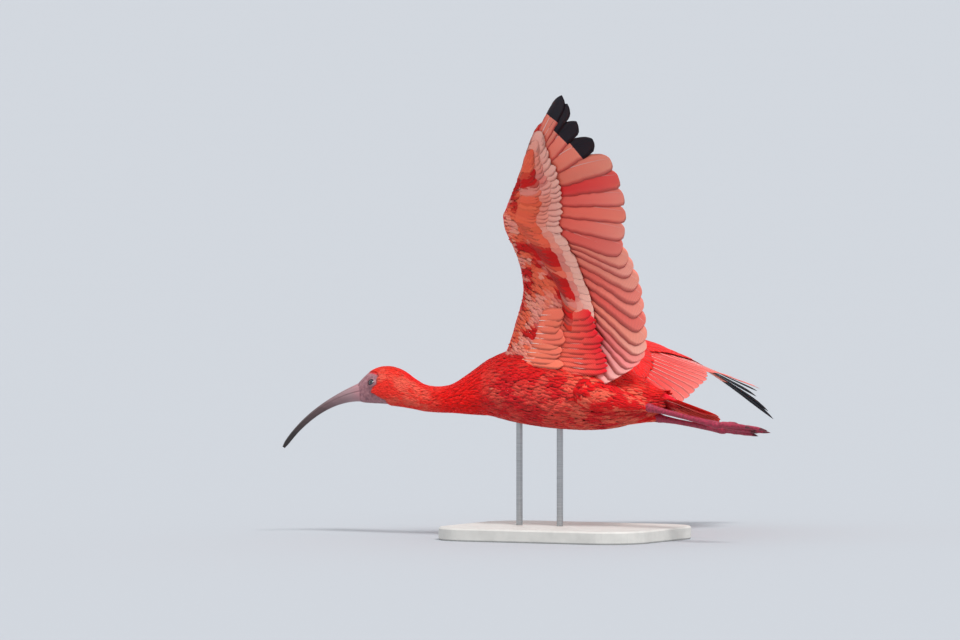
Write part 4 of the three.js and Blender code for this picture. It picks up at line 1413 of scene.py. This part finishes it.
def steel_material():
    made, tree, shader = new_material("Stand Brushed Steel")
    noise = object_texture(tree, "ShaderNodeTexNoise", (30, 30, 900), Scale=1.0, Detail=5.0)
    colour = ramp(tree, noise.outputs[0], ((0.3, (0.36, 0.37, 0.38)), (0.7, (0.5, 0.51, 0.52))))
    painted(tree, shader, colour, noise, 0.25, 0.42)
    shader.inputs["Metallic"].default_value = 1.0
    bumped(tree, shader, noise.outputs[0], 0.00005, 0.3)
    return made


# The studio: the sun's way and width, the camera's sensor and reach
SUN_WAY = (-0.45, 0.35, -0.84)
SUN_WIDTH = 0.25
SENSOR_WIDTH = 36.0
CAMERA_REACH = 400.0


# Sizes and colours that a user would change


def colour_property(label, words, code):
    value = tuple(paint(code))
    return FloatVectorProperty(
        name=label, description=words, subtype="COLOR", size=3, min=0, max=1, default=value
    )


def number_property(label, words, value, **limits):
    return FloatProperty(name=label, description=words, default=value, **limits)


def length_property(label, words, value, **limits):
    return number_property(label, words, value, unit="LENGTH", **limits)


class IbisColours(PropertyGroup):
    """Colours of the plumage, the bare parts and the stand."""

    back: colour_property("Back", "Upper side of the body and wings", "e61410")
    neck: colour_property("Neck", "Neck and shoulders", "f80f0a")
    crown: colour_property("Crown", "Top of the head", "ee2410")
    cheek: colour_property("Cheek", "Pale mottling of the cheek", "f26c56")
    belly: colour_property("Belly", "Breast and belly", "d0161e")
    salmon: colour_property("Salmon", "Patches of the flanks", "fb7a5e")
    buff: colour_property("Buff", "Pale ends of the under coverts", "ffa896")
    # Coral and Coral Red: partly the feathers' own colour, partly painted light, brightened to stand in for
    # light shining through the feathers
    coral: colour_property("Coral", "Paler flight feathers from below", "ff7a62")
    coral_red: colour_property("Coral Red", "Redder flight feathers from below", "f52a2c")
    mauve: colour_property("Mauve", "Innermost flight feathers from below", "fa8290")
    pale_tip: colour_property("Pale Tip", "Thin ends of the feathers", "ffcdbc")
    under_dark: colour_property("Dark Lining", "Dark red of the wing's lining", "d01a18")
    under_orange: colour_property("Orange Lining", "Orange of the wing's lining", "fb6648")
    tail: colour_property("Tail", "Tail feathers", "f5142c")
    shaft: colour_property("Shaft", "Shafts of the feathers", "fff0e8")
    black_tip: colour_property("Black Tip", "Ends of the outer four primaries", "14141e")
    face: colour_property("Face", "Bare skin of the face", "b27c82")
    face_dark: colour_property("Face Shade", "Creases of the face", "7a4a54")
    bill_base: colour_property("Bill Base", "Bill near the face", "9c7a7e")
    bill_middle: colour_property("Bill Middle", "Middle of the bill", "5c4648")
    bill_tip: colour_property("Bill Tip", "End of the bill", "241d1e")
    # Painted reflection: this dark blue-grey stands for the sky reflected in the eye; the eye's own colour is
    # dark brown
    iris_and_reflection: colour_property("Iris", "Ring of the eye", "22384a")
    leg: colour_property("Leg", "Shanks and toes", "b42a4c")
    leg_dark: colour_property("Leg Shade", "Between the scales", "7c1c30")
    claw: colour_property("Claw", "Claws", "2a1c1f")
    base: colour_property("Base", "Base of the stand", "d6d4ce")
    sky: colour_property("Sky", "Soft light of the studio", "f4f6fa")
    floor: colour_property("Floor", "Studio floor and backdrop", "b5b9be")


class IbisSettings(PropertyGroup):
    """Sizes and light of the portrait."""

    camera_azimuth: number_property("Camera Azimuth", "Camera's angle round the bird", 26.6)
    camera_height: number_property("Camera Elevation", "Camera's angle above the bird", 2.2)
    camera_distance: length_property("Camera Distance", "From the bird", 20.0, min=1)
    frame_width: length_property("Frame Width", "Width seen at the bird", 1.19, min=0.1)
    aim_right: length_property("Aim Right", "Centre of the picture from the shoulder", -0.074)
    aim_up: length_property("Aim Up", "Centre of the picture above the shoulder", 0.081)
    floor_size: length_property("Floor Size", "Side of the studio floor", 160.0, min=1)
    sun_strength: number_property("Sun", "Strength of the key light", 2.2, min=0)
    sky_strength: number_property("Sky", "Strength of the studio's soft light", 0.85, min=0)


def colours_now():
    settings = bpy.context.scene.ibis_colours
    return {key: np.array(getattr(settings, key)) for key in IbisColours.__annotations__}


def feather_finish(kind):
    """The plumage's materials, made once."""
    rows = {
        "Ibis Coat Feathers": (9, 0.1, 0.05), "Ibis Flight Feathers": (70, 0.12, 0.1),
        "Ibis Covert Feathers": (34, 0.12, 0.08),
    }
    found = bpy.data.materials.get(kind)
    return found or plumage_material(kind, bpy.context.scene.ibis_colours, *rows[kind])


def face_edge(angle):
    """Where the feathers begin, behind the eye and far back on the chin, with a point of them between."""
    around = np.abs(angle)
    cheek = 17 * smooth(around, 0.5, 1.25) - 7 * smooth(around, 1.7, 2.0)
    return -236 + cheek + 19 * smooth(around, 2.1, 2.7)


class IBIS_OT_skin(Operator):
    """One skin over the head, neck, torso, thighs and the wings' flesh."""

    bl_idname = "ibis.skin"
    bl_label = "Skin"

    def execute(self, context):
        made = build_skin(skin_material(context.scene.ibis_colours))
        mesh = made.data
        co = np.empty(len(mesh.vertices) * 3, np.float32)
        mesh.vertices.foreach_get("co", co)
        x, y, z = co.reshape(-1, 3).T / MM
        x, z = x - AXIS_AHEAD, z - AXIS_HEIGHT
        turn = math.radians(BANK - HEAD_LEVELLED)
        right, up = y * math.cos(turn) - z * math.sin(turn), y * math.sin(turn) + z * math.cos(turn)
        angle = np.arctan2(right, up - body_at(x)[0])
        write_values(mesh, "Bare", 1 - smooth(x - face_edge(angle), 0, 5))
        flesh = ["head", "neck_front", "neck_rear", "torso", "leg_left_upper", "leg_right_upper"]
        belongs(made, "scarlet_plumage", *flesh)
        return {"FINISHED"}


def face_free(x, angle):
    """Feathers stop at the bare skin of the face and the chin."""
    return x > face_edge(angle)


# Coats of the long body: part, where it starts and ends, seed, where its feathers grow
COATS = (("head", -245, -186, 81, face_free), ("neck", -186, -72, 82, None), ("body", -72, 166, 83, None))


class IBIS_OT_coat(Operator):
    """Feathers of the head, neck, body and thighs."""

    bl_idname = "ibis.coat"
    bl_label = "Coat"

    def execute(self, context):
        colours = colours_now()
        finish = feather_finish("Ibis Coat Feathers")
        for part, low, high, seed, keep in COATS:
            made = build_body_coat(f"ibis_{part}_feathers", low, high, finish, colours, seed, keep)
            belongs(made, "scarlet_plumage")
        for side, word in SIDES:
            belongs(build_thigh_coat(side, f"ibis_{word}_thigh_feathers", finish, colours), "scarlet_plumage")
        return {"FINISHED"}


class IBIS_OT_wings(Operator):
    """Flight feathers, coverts, axillaries and alula of both wings."""

    bl_idname = "ibis.wings"
    bl_label = "Wings"

    def execute(self, context):
        colours = colours_now()
        flight = feather_finish("Ibis Flight Feathers")
        covert = feather_finish("Ibis Covert Feathers")
        for side, word in SIDES:
            made = build_flight_feathers(side, f"ibis_{word}_flight_feathers", flight, colours)
            belongs(made, "coral_plumage", f"wing_{word}_inner", f"wing_{word}_outer")
            for layer, below in (("upper", False), ("under", True)):
                made = build_coverts(side, f"ibis_{word}_{layer}_coverts", below, covert, colours)
                belongs(made, "coral_plumage")
            belongs(build_axillaries(side, f"ibis_{word}_axillaries", covert, colours), "coral_plumage")
            belongs(build_alula(side, f"ibis_{word}_alula", covert, colours), "coral_plumage")
        return {"FINISHED"}


class IBIS_OT_tail(Operator):
    """Tail feathers and the coverts over and under their roots."""

    bl_idname = "ibis.tail"
    bl_label = "Tail"

    def execute(self, context):
        colours = colours_now()
        feathers = build_tail("ibis_tail_feathers", feather_finish("Ibis Flight Feathers"), colours)
        belongs(feathers, "scarlet_plumage", "tail")
        coverts = build_tail_coverts("ibis_tail_coverts", feather_finish("Ibis Coat Feathers"), colours)
        belongs(coverts, "scarlet_plumage")
        return {"FINISHED"}


class IBIS_OT_bill(Operator):
    """Upper and lower halves of the bill."""

    bl_idname = "ibis.bill"
    bl_label = "Bill"

    def execute(self, context):
        material = bill_material(context.scene.ibis_colours)
        build_bill_half("ibis_bill_upper", True, material, "bill_upper")
        build_bill_half("ibis_bill_lower", False, material, "bill_lower")
        return {"FINISHED"}


class IBIS_OT_eyes(Operator):
    """Eyes and the lids round them."""

    bl_idname = "ibis.eyes"
    bl_label = "Eyes"

    def execute(self, context):
        settings = context.scene.ibis_colours
        glass = eye_material(settings)
        lid = horn_material("Ibis Eyelid", settings.face_dark, settings.face, 700.0, 0.4, 0.6, 0.0002)
        for side, word in SIDES:
            build_eye(side, f"ibis_{word}_eye", glass, f"eye_{word}")
            build_lids(side, f"ibis_{word}_lids", lid)
        return {"FINISHED"}


class IBIS_OT_legs(Operator):
    """Shanks, feet and claws."""

    bl_idname = "ibis.legs"
    bl_label = "Legs"

    def execute(self, context):
        settings = context.scene.ibis_colours
        skin = horn_material("Ibis Leg Scales", settings.leg_dark, settings.leg, 420.0, 0.4, 0.6, 0.0003)
        claw = horn_material("Ibis Claw Horn", settings.claw, settings.leg_dark, 300.0, 0.25, 0.4, 0.0001)
        for side, word in SIDES:
            build_leg(side, f"ibis_{word}_leg", skin, claw, (f"leg_{word}_lower", f"foot_{word}"))
        return {"FINISHED"}


class IBIS_OT_stand(Operator):
    """Finishes of the display stand's base and rods."""

    bl_idname = "ibis.stand"
    bl_label = "Stand"

    def execute(self, context):
        settings = context.scene.ibis_colours
        pale = tuple(settings.base)
        shade = tuple(0.88 * value for value in pale)
        stone = horn_material("Stand Base Stone", shade, pale, 60.0, 0.45, 0.6, 0.0001)
        steel = steel_material()
        for name, material in (("stand_base", stone), ("stand_rod_front", steel), ("stand_rod_rear", steel)):
            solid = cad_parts[name]
            solid.material_slots[0].material = material
        return {"FINISHED"}


class IBIS_OT_studio(Operator):
    """Floor, light and camera of the studio."""

    bl_idname = "ibis.studio"
    bl_label = "Studio"

    def execute(self, context):
        settings, colours = context.scene.ibis_settings, context.scene.ibis_colours
        floor_finish = horn_material("Studio Floor", colours.floor, colours.floor, 2.0, 0.85, 0.95, 0.0001)
        half = settings.floor_size / 2
        corners = np.array([(-half, -half, 0), (half, -half, 0), (half, half, 0), (-half, half, 0)])
        new_object("studio_floor", corners, [(0, 1, 2, 3)], floor_finish, False)
        world = bpy.data.worlds.new("Studio Sky")
        world.use_nodes = True
        sky = world.node_tree.nodes["Background"]
        sky.inputs["Color"].default_value = (*colours.sky, 1)
        sky.inputs["Strength"].default_value = settings.sky_strength
        context.scene.world = world
        sun = bpy.data.lights.new("studio_sun", "SUN")
        sun.energy, sun.angle = settings.sun_strength, SUN_WIDTH
        sun_object = bpy.data.objects.new("studio_sun", sun)
        sun_object.rotation_euler = Vector(SUN_WAY).to_track_quat("-Z", "Y").to_euler()
        context.collection.objects.link(sun_object)
        camera = bpy.data.cameras.new("studio_camera")
        camera.sensor_width = SENSOR_WIDTH
        camera.lens = camera.sensor_width * settings.camera_distance / settings.frame_width
        camera.clip_end = CAMERA_REACH
        camera_object = bpy.data.objects.new("studio_camera", camera)
        around, above = math.radians(settings.camera_azimuth), math.radians(settings.camera_height)
        level = math.cos(above)
        back = Vector((math.sin(around) * level, -math.cos(around) * level, math.sin(above)))
        right = Vector((math.cos(around), math.sin(around), 0))
        up = back.cross(right)
        aim = Vector((AXIS_AHEAD, 0, AXIS_HEIGHT)) * MM + right * settings.aim_right + up * settings.aim_up
        camera_object.location = aim + back * settings.camera_distance
        camera_object.rotation_euler = back.to_track_quat("Z", "Y").to_euler()
        context.collection.objects.link(camera_object)
        context.scene.camera = camera_object
        context.scene.view_settings.view_transform = "Standard"
        return {"FINISHED"}


class IBIS_PT_panel(Panel):
    """Sidebar list of the ibis's pieces."""

    bl_label = "Scarlet Ibis"
    bl_idname = "IBIS_PT_panel"
    bl_space_type = "VIEW_3D"
    bl_region_type = "UI"
    bl_category = "Ibis"

    def draw(self, context):
        layout = self.layout
        for operator in OPERATORS:
            layout.operator(operator.bl_idname)
        for key in IbisSettings.__annotations__:
            layout.prop(context.scene.ibis_settings, key)
        for key in IbisColours.__annotations__:
            layout.prop(context.scene.ibis_colours, key)


OPERATORS = (
    IBIS_OT_skin, IBIS_OT_coat, IBIS_OT_wings, IBIS_OT_tail, IBIS_OT_bill, IBIS_OT_eyes, IBIS_OT_legs,
    IBIS_OT_stand, IBIS_OT_studio,
)
CLASSES = (IbisColours, IbisSettings, *OPERATORS, IBIS_PT_panel)


def register():
    for made in CLASSES:
        bpy.utils.register_class(made)
    bpy.types.Scene.ibis_colours = PointerProperty(type=IbisColours)
    bpy.types.Scene.ibis_settings = PointerProperty(type=IbisSettings)


def unregister():
    del bpy.types.Scene.ibis_settings
    del bpy.types.Scene.ibis_colours
    for made in reversed(CLASSES):
        bpy.utils.unregister_class(made)


def main():
    register()
    for operator in OPERATORS:
        family, action = operator.bl_idname.split(".")
        getattr(getattr(bpy.ops, family), action)()


if __name__ == "__main__":
    main()
